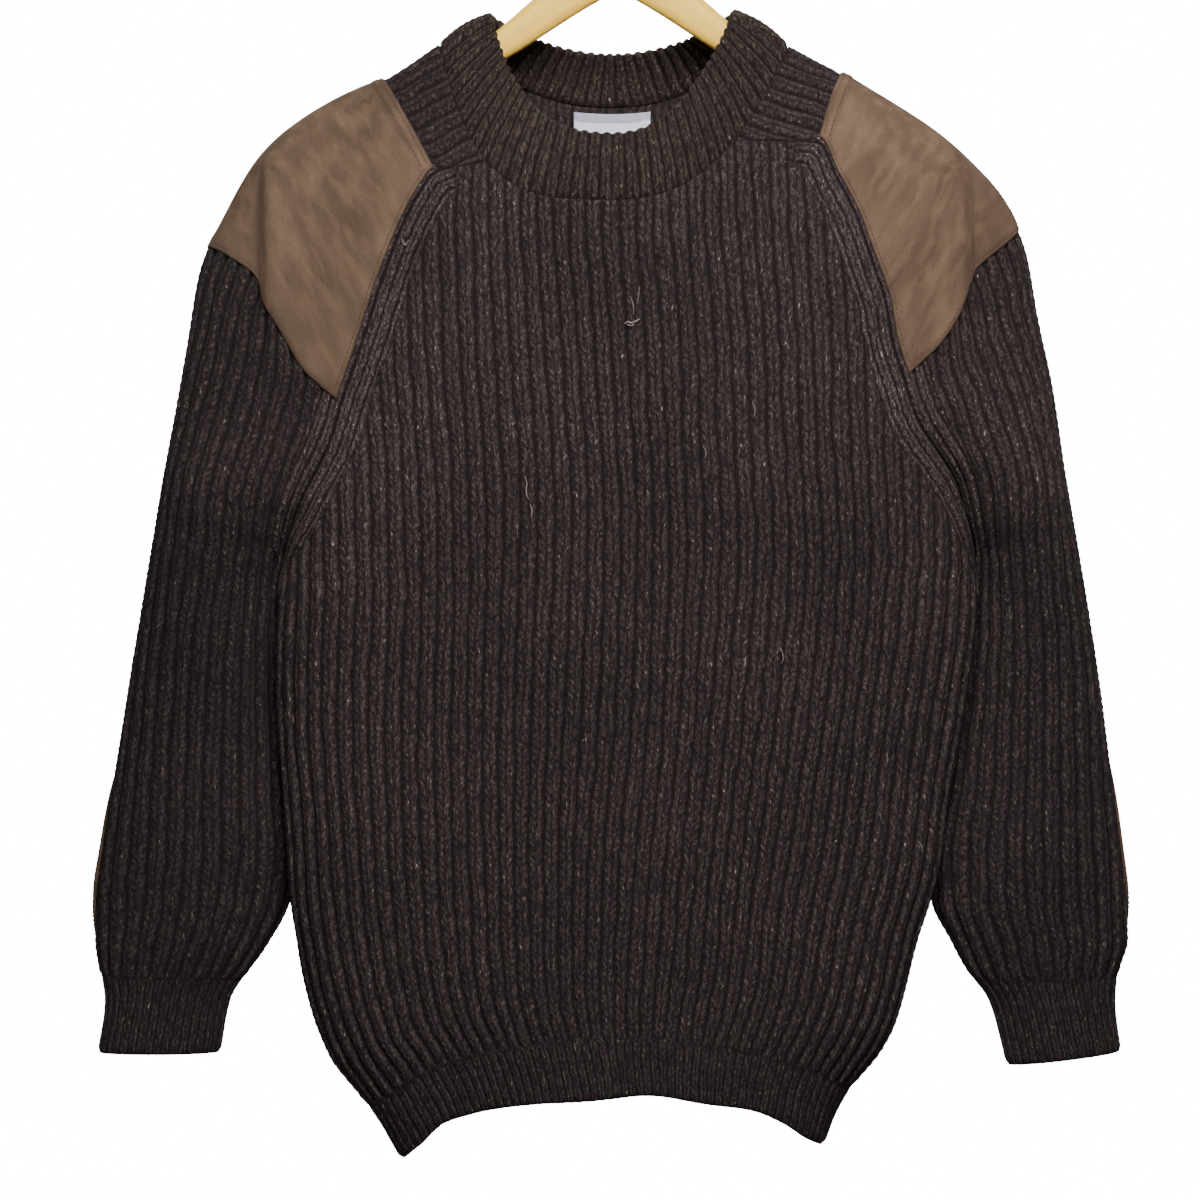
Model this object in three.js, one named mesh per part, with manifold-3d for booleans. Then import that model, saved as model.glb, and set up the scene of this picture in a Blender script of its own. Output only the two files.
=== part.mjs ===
// Chunky ribbed wool pullover with suede shoulder and elbow patches, hanging on a wooden coat hanger.
// Millimetres. The front faces -Y, +X is to the right when looking at the front, +Z is up.
// The origin is the inside of the hook's crown, where the hook bears on a rail.
import * as THREE from "three";
import Module from "manifold-3d";

// ---- driving dimensions ----
const KNIT_WALL = 3; // one layer of thick rib
const COLLAR_WALL = 6; // the collar strip is knitted double and folded
const SUEDE_WALL = 1.2;
const LABEL_WALL = 1;
const CLEARANCE = 0.45; // between a sewn-on piece and the cloth under it
const SEAM_INSET = 0.2; // each panel stops this far short of its seam line
const LABEL_HALF_WIDTH = 27;
const NECK_SHIFT = -4; // the neck opening sits a little to the left of the hook

// Rows run from the neck (0) down the raglan seam to the underarm (1) and on to the bottom edge (2).
const ROWS_TO_UNDERARM = [0, 0.05, 0.11, 0.2, 0.29, 0.38, 0.47, 0.56, 0.63, 0.72, 0.81, 0.9, 0.95, 1];
const BODY_ROWS_BELOW = [1.06, 1.14, 1.25, 1.37, 1.49, 1.6, 1.7, 1.79, 1.86, 1.93, 2];
const SLEEVE_ROWS_BELOW = [1.06, 1.14, 1.22, 1.3, 1.4, 1.5, 1.6, 1.69, 1.78, 1.83, 1.87, 1.91, 1.96, 2];
const BODY_HALF_COLUMNS = 9;
const SLEEVE_HALF_COLUMNS = [0, 0.012, 0.08, 0.15, 0.22, 0.29, 0.36, 0.43]; // from the front seam to the crown

// Where the two patches sit in a sleeve's rows and columns.
const SHOULDER_PATCH = { top: 0.11, tip: 0.63, crownRise: 0.125, firstColumn: 1, lastColumn: 15 };
const ELBOW_PATCH = { top: 1.3, bottom: 1.78, firstColumn: 8, lastColumn: 13, endHeight: 0.7 };

// ---- seam lines and centre lines, each [row, x, y, z] ----
const LEFT = {
  out: -1,
  raglanFront: [
    [0, -91, -44, -231], [0.11, -126, -46, -239], [0.17, -137, -48, -253], [0.26, -150, -50, -279],
    [0.38, -164, -51, -317], [0.49, -175, -50, -352], [0.63, -191, -46, -398], [0.72, -199, -42, -424],
    [0.865, -220, -29, -465], [0.93, -229, -14, -486],
  ],
  raglanBack: [
    [0, -82, 38, -164], [0.11, -98, 42, -186], [0.26, -120, 46, -222], [0.38, -143, 47, -265],
    [0.49, -164, 47, -311], [0.63, -188, 44, -372], [0.72, -202, 39, -408], [0.865, -222, 26, -461],
    [0.93, -229, 13, -485],
  ],
  sideSeam: [
    [1, -234, 0, -507], [1.05, -237, -6, -528], [1.18, -239, -8, -587], [1.43, -232, -8, -695],
    [1.53, -229, -8, -739], [1.67, -219, -8, -800], [1.74, -211, -8, -828], [1.81, -199, -8, -856],
    [1.87, -180, -8, -878], [1.93, -165, -8, -898], [2, -153, -8, -917],
  ],
  crown: [
    [0, -125, 0, -146], [0.11, -163, -1, -171], [0.2, -197, -2, -186], [0.29, -223, -3, -202],
    [0.38, -249, -5, -226], [0.47, -274, -5, -265], [0.56, -291, -4, -303], [0.63, -301, -2, -358],
    [0.72, -309, 0, -402], [0.865, -318, 2, -450], [1, -325, 3, -491], [1.28, -343, 12, -594],
    [1.45, -353, 15, -655], [1.6, -362, 16, -707], [1.7, -367, 16, -742], [1.78, -367, 16, -772],
    [1.86, -364, 16, -795], [1.91, -361, 16, -815], [2, -366, 16, -852],
  ],
  sleeveSeam: [
    [1, -234, 0, -507], [1.05, -237, 6, -523], [1.12, -235, 11, -549], [1.28, -234, 13, -604],
    [1.45, -231, 14, -663], [1.6, -226, 15, -713], [1.7, -231, 16, -746], [1.78, -245, 16, -774],
    [1.86, -261, 16, -797], [1.91, -272, 16, -815], [2, -279, 16, -852],
  ],
  rim: { front: [-68, -28, -181], shoulder: [-90, 0, -124], back: [-58, 29, -138] },
};
const RIGHT = {
  out: 1,
  raglanFront: [
    [0, 81, -40, -216], [0.11, 138, -42, -218], [0.17, 150, -46, -241], [0.26, 164, -48, -269],
    [0.36, 175, -50, -301], [0.46, 184, -50, -328], [0.55, 189, -49, -356], [0.63, 197, -47, -381],
    [0.73, 207, -43, -410], [0.84, 226, -34, -438], [0.88, 234, -28, -450], [0.95, 245, -12, -482],
  ],
  raglanBack: [
    [0, 74, 38, -162], [0.11, 94, 42, -184], [0.26, 118, 46, -220], [0.38, 141, 47, -262],
    [0.49, 163, 47, -307], [0.63, 190, 44, -362], [0.72, 207, 39, -398], [0.865, 232, 26, -455],
    [0.95, 246, 10, -488],
  ],
  sideSeam: [
    [1, 250, 0, -506], [1.05, 251, -6, -530], [1.14, 248, -8, -567], [1.23, 243, -8, -605],
    [1.39, 231, -8, -673], [1.5, 225, -8, -719], [1.55, 220, -8, -739], [1.63, 209, -8, -772],
    [1.77, 194, -8, -828], [1.82, 183, -8, -849],
    [1.89, 163, -8, -872], [1.95, 151, -8, -892], [2, 145, -8, -906],
  ],
  crown: [
    [0, 119, 0, -147], [0.11, 155, -1, -167], [0.2, 190, -2, -186], [0.29, 220, -3, -206],
    [0.38, 246, -5, -230], [0.47, 267, -5, -255], [0.56, 284, -4, -290], [0.63, 293, -2, -338],
    [0.72, 303, 0, -385], [0.865, 312, 2, -445], [1, 320, 3, -490], [1.28, 338, 12, -594],
    [1.45, 346, 15, -655], [1.6, 353, 16, -707], [1.7, 357, 16, -742], [1.78, 358, 16, -772],
    [1.86, 352, 16, -795], [1.91, 350, 16, -815], [2, 354, 16, -851],
  ],
  sleeveSeam: [
    [1, 250, 0, -506], [1.05, 250, 6, -523], [1.12, 246, 11, -549], [1.28, 239, 13, -604],
    [1.45, 229, 14, -663], [1.6, 220, 15, -713], [1.7, 222, 16, -746], [1.78, 235, 16, -774],
    [1.86, 247, 16, -797], [1.91, 260, 16, -815], [2, 273, 16, -861],
  ],
  rim: { front: [60, -27, -167], shoulder: [82, 0, -122], back: [50, 29, -138] },
};
const FRONT_CENTRE = [
  [0, NECK_SHIFT, -56, -259], [0.11, NECK_SHIFT, -54, -283], [0.26, -2, -53, -316], [0.38, 0, -53, -346],
  [0.49, 2, -53, -374], [0.63, 4, -54, -409], [0.865, 7, -55, -470], [1, 8, -55, -507],
  [1.3, 2, -57, -618], [1.6, -5, -58, -730], [1.8, -7, -57, -804], [2, 0, -54, -878],
];
const BACK_CENTRE = [
  [0, NECK_SHIFT, 46, -182], [0.11, NECK_SHIFT, 47, -204], [0.26, -2, 48, -236], [0.38, 0, 48, -270],
  [0.49, 2, 48, -303], [0.63, 4, 47, -350], [0.865, 7, 43, -447], [1, 8, 41, -507],
  [1.3, 2, 40, -618], [1.6, -5, 40, -730], [1.8, -7, 39, -804], [2, 0, 37, -880],
];
const RIM_FRONT = [NECK_SHIFT, -46, -213];
const RIM_BACK = [NECK_SHIFT, 37, -148];

// Direction in which a row of the front or back reaches the raglan seam: [row, outwards, backwards, upwards].
const FRONT_ARRIVAL = [
  [0, 0.6, 0.3, 0.74], [0.11, 0.8, 0.12, 0.55], [0.26, 0.88, 0.08, 0.45], [0.38, 0.92, 0.06, 0.38],
  [0.49, 0.95, 0.08, 0.3], [0.63, 0.97, 0.12, 0.18], [0.72, 0.96, 0.22, 0.12], [0.865, 0.78, 0.5, 0.05],
  [1, 0, 1, 0], [2, 0, 1, 0],
];
const BACK_ARRIVAL = [
  [0, 0.85, -0.45, 0.3], [0.11, 0.93, -0.2, 0.3], [0.26, 0.95, -0.1, 0.28], [0.38, 0.96, -0.08, 0.25],
  [0.49, 0.97, -0.1, 0.2], [0.63, 0.97, -0.18, 0.12], [0.72, 0.93, -0.3, 0.1], [0.865, 0.7, -0.65, 0.03],
  [1, 0, -1, 0], [2, 0, -1, 0],
];
// Handle lengths: how far a row runs straight before it bends, at the panel's edge and at its middle.
const BODY_HANDLES = [[0, 36, 0.5], [0.26, 40, 0.5], [0.49, 52, 0.52], [0.72, 62, 0.56], [1, 48, 0.62], [1.3, 44, 0.62], [2, 40, 0.62]];
const SLEEVE_HANDLES = [
  [0, 40, 30], [0.11, 42, 30], [0.26, 46, 33], [0.38, 55, 36], [0.49, 58, 40], [0.63, 52, 46],
  [0.72, 46, 50], [0.865, 48, 55], [1, 55, 57], [1.28, 51, 51], [1.45, 46, 46], [1.6, 42, 42],
  [1.7, 38, 38], [1.86, 32, 32], [1.91, 29, 29], [2, 31, 31],
];
// The bottom edge rises beside the middle and drops at the sides, where the welt turns round the body:
// [share of the way from the centre line to the seam, left, right].
const HEM_WAVE = [[0, 0, 0], [0.2, 2, 1], [0.4, 6, 2.5], [0.55, 4, 0], [0.7, -6, -5], [0.86, -9, -6.5], [1, 0, 0]];
const HEM_WAVE_FROM = 1.82; // row at which the wave sets in
// How far the sleeve folds away from the body at the raglan seam: 0 lies flat, 1 is a closed crease.
const CREASE = [[0, 0], [0.63, 0], [0.72, 0.25], [0.865, 0.65], [1, 1], [2, 1]];
const CREASE_SPLAY = [[0, 0.35, 0.35], [1, 0.35, 0.2], [1.1, 0.35, -0.35], [1.6, 0.35, -0.35], [1.86, 0, 0], [2, 0, 0]];

// ---- hanger, each section [half x, top z, bottom z, half thickness] ----
const HANGER_SECTIONS = [
  [0, -68, -108, 7], [12, -69, -114, 7], [24, -79, -121, 7], [40, -97, -131, 7], [64, -117, -147, 7.5],
  [84, -135.5, -159, 8], [104, -149, -170, 9], [125, -159, -181, 10], [163, -179, -201, 12],
  [198, -200.5, -221, 12], [225, -219, -238, 12], [237, -231, -247, 9], [242, -236, -245, 5],
];
const HANGER_SIDES = 14;
const HOOK_WIRE_R = 1.9;
const HOOK_BEND_R = 19;
const HOOK_SHANK_FOOT = -92; // the shank runs down into the wood to here

// ---- rows and columns at which the panels are sampled ----
const steps = (from, to, count) => Array.from({ length: count + 1 }, (_, k) => from + ((to - from) * k) / count);
const bodyRows = [...ROWS_TO_UNDERARM, ...BODY_ROWS_BELOW];
const sleeveRows = [...ROWS_TO_UNDERARM, ...SLEEVE_ROWS_BELOW];
const bodyColumns = steps(-1, 1, 2 * BODY_HALF_COLUMNS);
const sleeveColumns = [...SLEEVE_HALF_COLUMNS, 0.5, ...SLEEVE_HALF_COLUMNS.map((f) => 1 - f).reverse()];

// ---- small vector and curve helpers ----
const vec = (p) => new THREE.Vector3(p[0], p[1], p[2]);

// Monotone cubic curve through rows of [knot, ...values]; it never overshoots a control value.
function curve(table) {
  const knots = table.map((r) => r[0]);
  const slopes = table.map(() => []);
  const width = table[0].length - 1;
  for (let c = 0; c < width; c++) {
    const secants = knots.slice(1).map((k, i) => (table[i + 1][c + 1] - table[i][c + 1]) / (k - knots[i]));
    for (let i = 0; i < knots.length; i++) {
      const before = secants[Math.max(i - 1, 0)];
      const after = secants[Math.min(i, secants.length - 1)];
      slopes[i][c] = before * after <= 0 ? 0 : (2 * before * after) / (before + after);
    }
  }
  return (x) => {
    let i = 0;
    while (i < knots.length - 2 && x > knots[i + 1]) i++;
    const h = knots[i + 1] - knots[i];
    const t = (x - knots[i]) / h;
    const values = [];
    for (let c = 0; c < width; c++) {
      const a = table[i][c + 1];
      const b = table[i + 1][c + 1];
      const startPull = slopes[i][c] * h * t * (1 - t) * (1 - t);
      const endPull = slopes[i + 1][c] * h * t * t * (1 - t);
      values.push(a + (b - a) * t * t * (3 - 2 * t) + startPull - endPull);
    }
    return values;
  };
}

function bezier(p0, p1, p2, p3, t) {
  const s = 1 - t;
  return new THREE.Vector3()
    .addScaledVector(p0, s * s * s)
    .addScaledVector(p1, 3 * s * s * t)
    .addScaledVector(p2, 3 * s * t * t)
    .addScaledVector(p3, t * t * t);
}

function pointCurve(table) {
  const at = curve(table);
  return (row) => vec(at(row));
}

// ---- surfaces of the sewn panels ----
const bodyHandles = curve(BODY_HANDLES);
const hemWave = curve(HEM_WAVE);
const sleeveHandles = curve(SLEEVE_HANDLES);
const creaseAt = curve(CREASE);
const splayAt = curve(CREASE_SPLAY);

function arrival(table, side) {
  const at = curve(table);
  return (row) => {
    const [outwards, backwards, upwards] = at(row);
    return new THREE.Vector3(outwards * side.out, backwards, upwards).normalize();
  };
}

function panelEdges(side) {
  return {
    out: side.out,
    front: pointCurve([...side.raglanFront, ...side.sideSeam]),
    back: pointCurve([...side.raglanBack, ...side.sideSeam]),
    crown: pointCurve(side.crown),
    sleeveSeam: pointCurve(side.sleeveSeam),
    frontArrival: arrival(FRONT_ARRIVAL, side),
    backArrival: arrival(BACK_ARRIVAL, side),
    rim: side.rim,
  };
}
const left = panelEdges(LEFT);
const right = panelEdges(RIGHT);
const frontCentre = pointCurve(FRONT_CENTRE);
const backCentre = pointCurve(BACK_CENTRE);

// Front or back panel: u runs from -1 at the left seam over 0 at the centre line to 1 at the right seam.
function bodyPoint(isFront, u, row) {
  const side = u < 0 ? left : right;
  const centre = isFront ? frontCentre(row) : backCentre(row);
  const edge = isFront ? side.front(row) : side.back(row);
  const direction = isFront ? side.frontArrival(row) : side.backArrival(row);
  const [edgeHandle, centreShare] = bodyHandles(row);
  const nearCentre = centre.clone();
  nearCentre.x += (edge.x - centre.x) * centreShare;
  const nearEdge = edge.clone().addScaledVector(direction, -edgeHandle);
  const p = bezier(centre, nearCentre, nearEdge, edge, Math.abs(u));
  const wave = Math.max(0, (row - HEM_WAVE_FROM) / (2 - HEM_WAVE_FROM));
  p.z += hemWave(Math.abs(u))[u < 0 ? 0 : 1] * wave;
  return p;
}

// Direction in which the sleeve leaves the raglan seam: level with the body above, folded away below.
function sleeveStart(side, isFront, row, seam, crown) {
  const facing = isFront ? -1 : 1;
  const splay = new THREE.Vector3(side.out * splayAt(row)[isFront ? 0 : 1], facing, 0).normalize();
  if (row >= 1) return splay;
  const edge = isFront ? side.front : side.back;
  const along = edge(row + 1e-3).sub(edge(Math.max(row - 1e-3, 0)));
  const bodyDirection = isFront ? side.frontArrival(row) : side.backArrival(row);
  const normal = along.cross(bodyDirection).normalize();
  const flat = crown.clone().sub(seam);
  flat.addScaledVector(normal, -flat.dot(normal)).normalize();
  flat.lerp(bodyDirection, Math.max(0, 1 - row / 0.11)).normalize();
  return flat.lerp(splay, creaseAt(row)[0]).normalize();
}

// Sleeve: f runs from 0 at the front seam over 0.5 at the crown to 1 at the back seam.
function sleevePoint(side, f, row) {
  const isFront = f < 0.5;
  const crown = side.crown(row);
  const raglan = isFront ? side.front : side.back;
  const seam = row < 1 ? raglan(row) : side.sleeveSeam(row);
  const [seamHandle, crownHandle] = sleeveHandles(row);
  const start = sleeveStart(side, isFront, row, seam, crown);
  const nearSeam = seam.clone().addScaledVector(start, seamHandle);
  const nearCrown = crown.clone();
  nearCrown.y += isFront ? -crownHandle : crownHandle;
  const t = isFront ? f * 2 : 2 - f * 2;
  return bezier(seam, nearSeam, nearCrown, crown, t);
}

// Bends a sleeve's rows so that one of them follows the lower edge of the shoulder patch and two follow the
// ends of the elbow patch. The patches can then share the sleeve's own points.
function bentRow(f, row) {
  const towardsSeam = Math.abs(1 - 2 * f);
  const tip = SHOULDER_PATCH.tip - SHOULDER_PATCH.crownRise * (1 - Math.pow(towardsSeam, 1.2));
  const first = sleeveColumns[ELBOW_PATCH.firstColumn];
  const last = sleeveColumns[ELBOW_PATCH.lastColumn];
  const across = THREE.MathUtils.clamp((f - first) / (last - first), 0, 1);
  const height = ELBOW_PATCH.endHeight + (1 - ELBOW_PATCH.endHeight) * Math.sin(Math.PI * across);
  const middle = (ELBOW_PATCH.top + ELBOW_PATCH.bottom) / 2;
  const reach = ((ELBOW_PATCH.bottom - ELBOW_PATCH.top) / 2) * height;
  const from = [0, SHOULDER_PATCH.top, SHOULDER_PATCH.tip, 1, 1.22, ELBOW_PATCH.top, ELBOW_PATCH.bottom, 1.83, 2];
  const to = [0, SHOULDER_PATCH.top, tip, 1, 1.22, middle - reach, middle + reach, 1.83, 2];
  let i = 0;
  while (i < from.length - 2 && row > from[i + 1]) i++;
  return to[i] + ((row - from[i]) / (from[i + 1] - from[i])) * (to[i + 1] - to[i]);
}

// ---- from a surface to a closed sheet ----

// Samples a surface at the given parameters and finds the outward normal at each sample.
function sample(surface, us, rows, outward) {
  const EPS = 1e-4;
  const lastU = us[us.length - 1];
  const lastRow = rows[rows.length - 1];
  const grid = us.map((u) =>
    rows.map((row) => {
      const p = surface(u, row);
      const du = surface(Math.min(u + EPS, lastU), row).sub(surface(Math.max(u - EPS, us[0]), row));
      const dRow = surface(u, Math.min(row + EPS, lastRow)).sub(surface(u, Math.max(row - EPS, rows[0])));
      return { p, n: du.cross(dRow).normalize() };
    }),
  );
  const probe = grid[Math.floor(us.length / 2)][Math.floor(rows.length / 2)];
  if (probe.n.dot(outward) < 0) grid.flat().forEach((s) => s.n.negate());
  return grid;
}

// Pulls the edge samples in from the seam lines.
function inset(grid, ends) {
  const columns = grid.length;
  const rows = grid[0].length;
  const pull = (edge, inner) => {
    const step = inner.p.clone().sub(edge.p);
    edge.p.addScaledVector(step.normalize(), SEAM_INSET);
  };
  if (ends.sides) {
    for (let j = 0; j < rows; j++) {
      pull(grid[0][j], grid[1][j]);
      pull(grid[columns - 1][j], grid[columns - 2][j]);
    }
  }
  if (ends.top) for (let i = 0; i < columns; i++) pull(grid[i][0], grid[i][1]);
  return grid;
}

// Closed sheet over grid columns i0..i1 and rows j0..j1, between two offsets from the sampled surface.
function sheet(grid, { outer, inner, i0 = 0, i1 = grid.length - 1, j0 = 0, j1 = grid[0].length - 1, wrap = false }) {
  const columns = i1 - i0 + (wrap ? 0 : 1);
  const rows = j1 - j0 + 1;
  const positions = [];
  for (const offset of [outer, inner]) {
    for (let i = 0; i < columns; i++) {
      for (let j = 0; j < rows; j++) {
        const s = grid[i0 + i][j0 + j];
        const p = s.p.clone().addScaledVector(s.n, offset);
        positions.push(p.x, p.y, p.z);
      }
    }
  }
  const id = (layer, i, j) => (layer * columns + (i % columns)) * rows + j;
  const index = [];
  const quad = (a, b, c, d) => index.push(a, b, c, a, c, d);
  for (let i = 0; i < i1 - i0; i++) {
    for (let j = 0; j < rows - 1; j++) {
      quad(id(0, i, j), id(0, i + 1, j), id(0, i + 1, j + 1), id(0, i, j + 1));
      quad(id(1, i, j), id(1, i, j + 1), id(1, i + 1, j + 1), id(1, i + 1, j));
    }
    quad(id(1, i, 0), id(1, i + 1, 0), id(0, i + 1, 0), id(0, i, 0));
    quad(id(0, i, rows - 1), id(0, i + 1, rows - 1), id(1, i + 1, rows - 1), id(1, i, rows - 1));
  }
  if (!wrap) {
    const last = columns - 1;
    for (let j = 0; j < rows - 1; j++) {
      quad(id(0, 0, j), id(0, 0, j + 1), id(1, 0, j + 1), id(1, 0, j));
      quad(id(1, last, j), id(1, last, j + 1), id(0, last, j + 1), id(0, last, j));
    }
  }
  return facingOut(positions, index);
}

function facingOut(positions, index) {
  const at = (k) => new THREE.Vector3(positions[3 * k], positions[3 * k + 1], positions[3 * k + 2]);
  let volume = 0;
  for (let k = 0; k < index.length; k += 3) {
    volume += at(index[k]).dot(at(index[k + 1]).cross(at(index[k + 2])));
  }
  if (volume < 0) for (let k = 0; k < index.length; k += 3) [index[k + 1], index[k + 2]] = [index[k + 2], index[k + 1]];
  const geometry = new THREE.BufferGeometry();
  geometry.setAttribute("position", new THREE.Float32BufferAttribute(positions, 3));
  geometry.setIndex(index);
  geometry.computeVertexNormals();
  return geometry;
}

// ---- the sewn pieces ----

function bodyGrid(isFront) {
  const outward = new THREE.Vector3(0, isFront ? -1 : 1, 0);
  return sample((u, row) => bodyPoint(isFront, u, row), bodyColumns, bodyRows, outward);
}

function sleeveGrid(side) {
  const surface = (f, row) => sleevePoint(side, f, bentRow(f, row));
  return sample(surface, sleeveColumns, sleeveRows, new THREE.Vector3(side.out, 0, 0));
}

const frontGrid = bodyGrid(true);
const backGrid = bodyGrid(false);
const leftGrid = sleeveGrid(left);
const rightGrid = sleeveGrid(right);

// The collar's lower edge is the ring of neck edges: front centre, left sleeve, back, right sleeve, front.
function neckRing() {
  const top = (grid, i) => ({ p: grid[i][0].p.clone(), n: grid[i][0].n.clone() });
  const ring = [];
  for (let i = BODY_HALF_COLUMNS; i > 0; i--) ring.push(top(frontGrid, i));
  for (let i = 0; i < sleeveColumns.length - 1; i++) ring.push(top(leftGrid, i));
  for (let i = 0; i < 2 * BODY_HALF_COLUMNS; i++) ring.push(top(backGrid, i));
  for (let i = sleeveColumns.length - 1; i > 0; i--) ring.push(top(rightGrid, i));
  for (let i = 2 * BODY_HALF_COLUMNS; i > BODY_HALF_COLUMNS; i--) ring.push(top(frontGrid, i));
  return ring;
}

// The collar's upper edge, sampled in step with the neck ring.
function rimRing() {
  const quarter = (side) => {
    const front = vec(side.rim.front);
    const shoulder = vec(side.rim.shoulder);
    const back = vec(side.rim.back);
    const frontTurn = new THREE.Vector3(0.5 * side.out, 0.35, 0.79).normalize();
    const backTurn = new THREE.Vector3(-0.85 * side.out, 0.42, -0.3).normalize();
    const straight = (p, dx, dy) => p.clone().add(new THREE.Vector3(dx * side.out, dy, 0));
    return {
      toFront: (t) =>
        bezier(vec(RIM_FRONT), straight(vec(RIM_FRONT), 34, 0), front.clone().addScaledVector(frontTurn, -26), front, t),
      toShoulder: (t) =>
        bezier(front, front.clone().addScaledVector(frontTurn, 30), straight(shoulder, 0, -20), shoulder, t),
      toBack: (t) =>
        bezier(shoulder, straight(shoulder, 0, 18), back.clone().addScaledVector(backTurn, -14), back, t),
      toBackCentre: (t) =>
        bezier(back, back.clone().addScaledVector(backTurn, 16), straight(vec(RIM_BACK), 20, 0), vec(RIM_BACK), t),
    };
  };
  const l = quarter(left);
  const r = quarter(right);
  const body = steps(0, 1, BODY_HALF_COLUMNS).slice(0, -1);
  const toCrown = SLEEVE_HALF_COLUMNS.map((f) => 2 * f);
  const fromCrown = sleeveColumns.filter((f) => f >= 0.5 && f < 1).map((f) => 2 * f - 1);
  return [
    ...body.map((t) => l.toFront(t)),
    ...toCrown.map((t) => l.toShoulder(t)),
    ...fromCrown.map((t) => l.toBack(t)),
    ...body.map((t) => l.toBackCentre(t)),
    ...body.map((t) => r.toBackCentre(1 - t)),
    ...toCrown.map((t) => r.toBack(1 - t)),
    ...fromCrown.map((t) => r.toShoulder(1 - t)),
    ...body.map((t) => r.toFront(1 - t)),
  ];
}

function collarGrid() {
  const ring = neckRing();
  const rim = rimRing();
  const count = ring.length;
  const heights = [0, 0.35, 0.7, 1];
  const BULGE = 3;
  const middle = new THREE.Vector3();
  ring.forEach((s) => middle.addScaledVector(s.p, 1 / count));
  const across = (k) => rim[(k + 1) % count].clone().sub(rim[(k + count - 1) % count]);
  return ring.map((foot, k) => {
    const rise = rim[k].clone().sub(foot.p);
    const normal = across(k).cross(rise).normalize();
    const outward = rim[k].clone().sub(middle).setZ(0);
    if (normal.dot(outward) < 0) normal.negate();
    return heights.map((h) => {
      const n = foot.n.clone().lerp(normal, Math.min(1, h * 2.5)).normalize();
      const p = foot.p.clone().lerp(rim[k], h).addScaledVector(n, BULGE * Math.sin(Math.PI * h));
      return { p, n };
    });
  });
}

// Label: a plain woven rectangle on the inside of the back, just under the collar.
function labelGrid() {
  const tAt = (x, row) => {
    let low = -1;
    let high = 1;
    for (let k = 0; k < 40; k++) {
      const mid = (low + high) / 2;
      if (bodyPoint(false, mid, row).x < x) low = mid;
      else high = mid;
    }
    return (low + high) / 2;
  };
  const surface = (a, row) => bodyPoint(false, tAt(NECK_SHIFT + a * LABEL_HALF_WIDTH, row), row);
  return sample(surface, steps(-1, 1, 6), steps(0.035, 0.2, 4), new THREE.Vector3(0, 1, 0));
}

// ---- hanger and hook ----

// Rounded-rectangle section in the plane of constant x.
function hangerSection(x, top, bottom, halfThick) {
  const centre = (top + bottom) / 2;
  const halfHigh = (top - bottom) / 2;
  const round = (v) => Math.sign(v) * Math.pow(Math.abs(v), 0.7);
  return steps(0, 2 * Math.PI, HANGER_SIDES)
    .slice(0, -1)
    .map((a) => [x, halfThick * round(Math.cos(a)), centre + halfHigh * round(Math.sin(a))]);
}

function hangerGeometry() {
  const sections = [
    ...HANGER_SECTIONS.slice(1).reverse().map(([x, ...rest]) => hangerSection(-x, ...rest)),
    ...HANGER_SECTIONS.map(([x, ...rest]) => hangerSection(x, ...rest)),
  ];
  const positions = sections.flat(2);
  const index = [];
  const id = (s, k) => s * HANGER_SIDES + (k % HANGER_SIDES);
  for (let s = 0; s < sections.length - 1; s++) {
    for (let k = 0; k < HANGER_SIDES; k++) {
      index.push(id(s, k), id(s + 1, k), id(s + 1, k + 1), id(s, k), id(s + 1, k + 1), id(s, k + 1));
    }
  }
  for (const [s, turned] of [[0, false], [sections.length - 1, true]]) {
    for (let k = 1; k < HANGER_SIDES - 1; k++) {
      index.push(id(s, 0), ...(turned ? [id(s, k + 1), id(s, k)] : [id(s, k), id(s, k + 1)]));
    }
  }
  return facingOut(positions, index);
}

// Centre line of the hook: a straight shank, an offset bend and three quarters of a circle round the rail.
class HookLine extends THREE.Curve {
  getPoint(t, target = new THREE.Vector3()) {
    const r = HOOK_BEND_R + HOOK_WIRE_R;
    const centreZ = -HOOK_BEND_R;
    const shank = 0.42;
    if (t < shank) {
      const s = t / shank;
      const foot = HOOK_SHANK_FOOT;
      const head = centreZ - r - 1;
      return target.set(0, 0, foot + (head - foot) * s);
    }
    const s = (t - shank) / (1 - shank);
    const ease = Math.min(1, s * 4);
    const angle = -Math.PI / 2 + s * Math.PI * 1.42;
    const x = r * Math.cos(angle) * ease;
    const z = centreZ + r * Math.sin(angle) - (1 - ease);
    return target.set(x, 0, z);
  }
}

function hookGeometry() {
  const around = 10;
  const along = 56;
  const tube = new THREE.TubeGeometry(new HookLine(), along, HOOK_WIRE_R, around, false);
  const positions = Array.from(tube.getAttribute("position").array);
  const ring = (s, k) => s * (around + 1) + (k % around);
  const index = [];
  for (let s = 0; s < along; s++) {
    for (let k = 0; k < around; k++) {
      index.push(ring(s, k), ring(s + 1, k), ring(s + 1, k + 1), ring(s, k), ring(s + 1, k + 1), ring(s, k + 1));
    }
  }
  for (const [s, turned] of [[0, false], [along, true]]) {
    for (let k = 1; k < around - 1; k++) {
      index.push(ring(s, 0), ...(turned ? [ring(s, k + 1), ring(s, k)] : [ring(s, k), ring(s, k + 1)]));
    }
  }
  const used = [...new Set(index)];
  const renumber = new Map(used.map((v, k) => [v, k]));
  const kept = used.flatMap((v) => positions.slice(3 * v, 3 * v + 3));
  return facingOut(kept, index.map((v) => renumber.get(v)));
}

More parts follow.
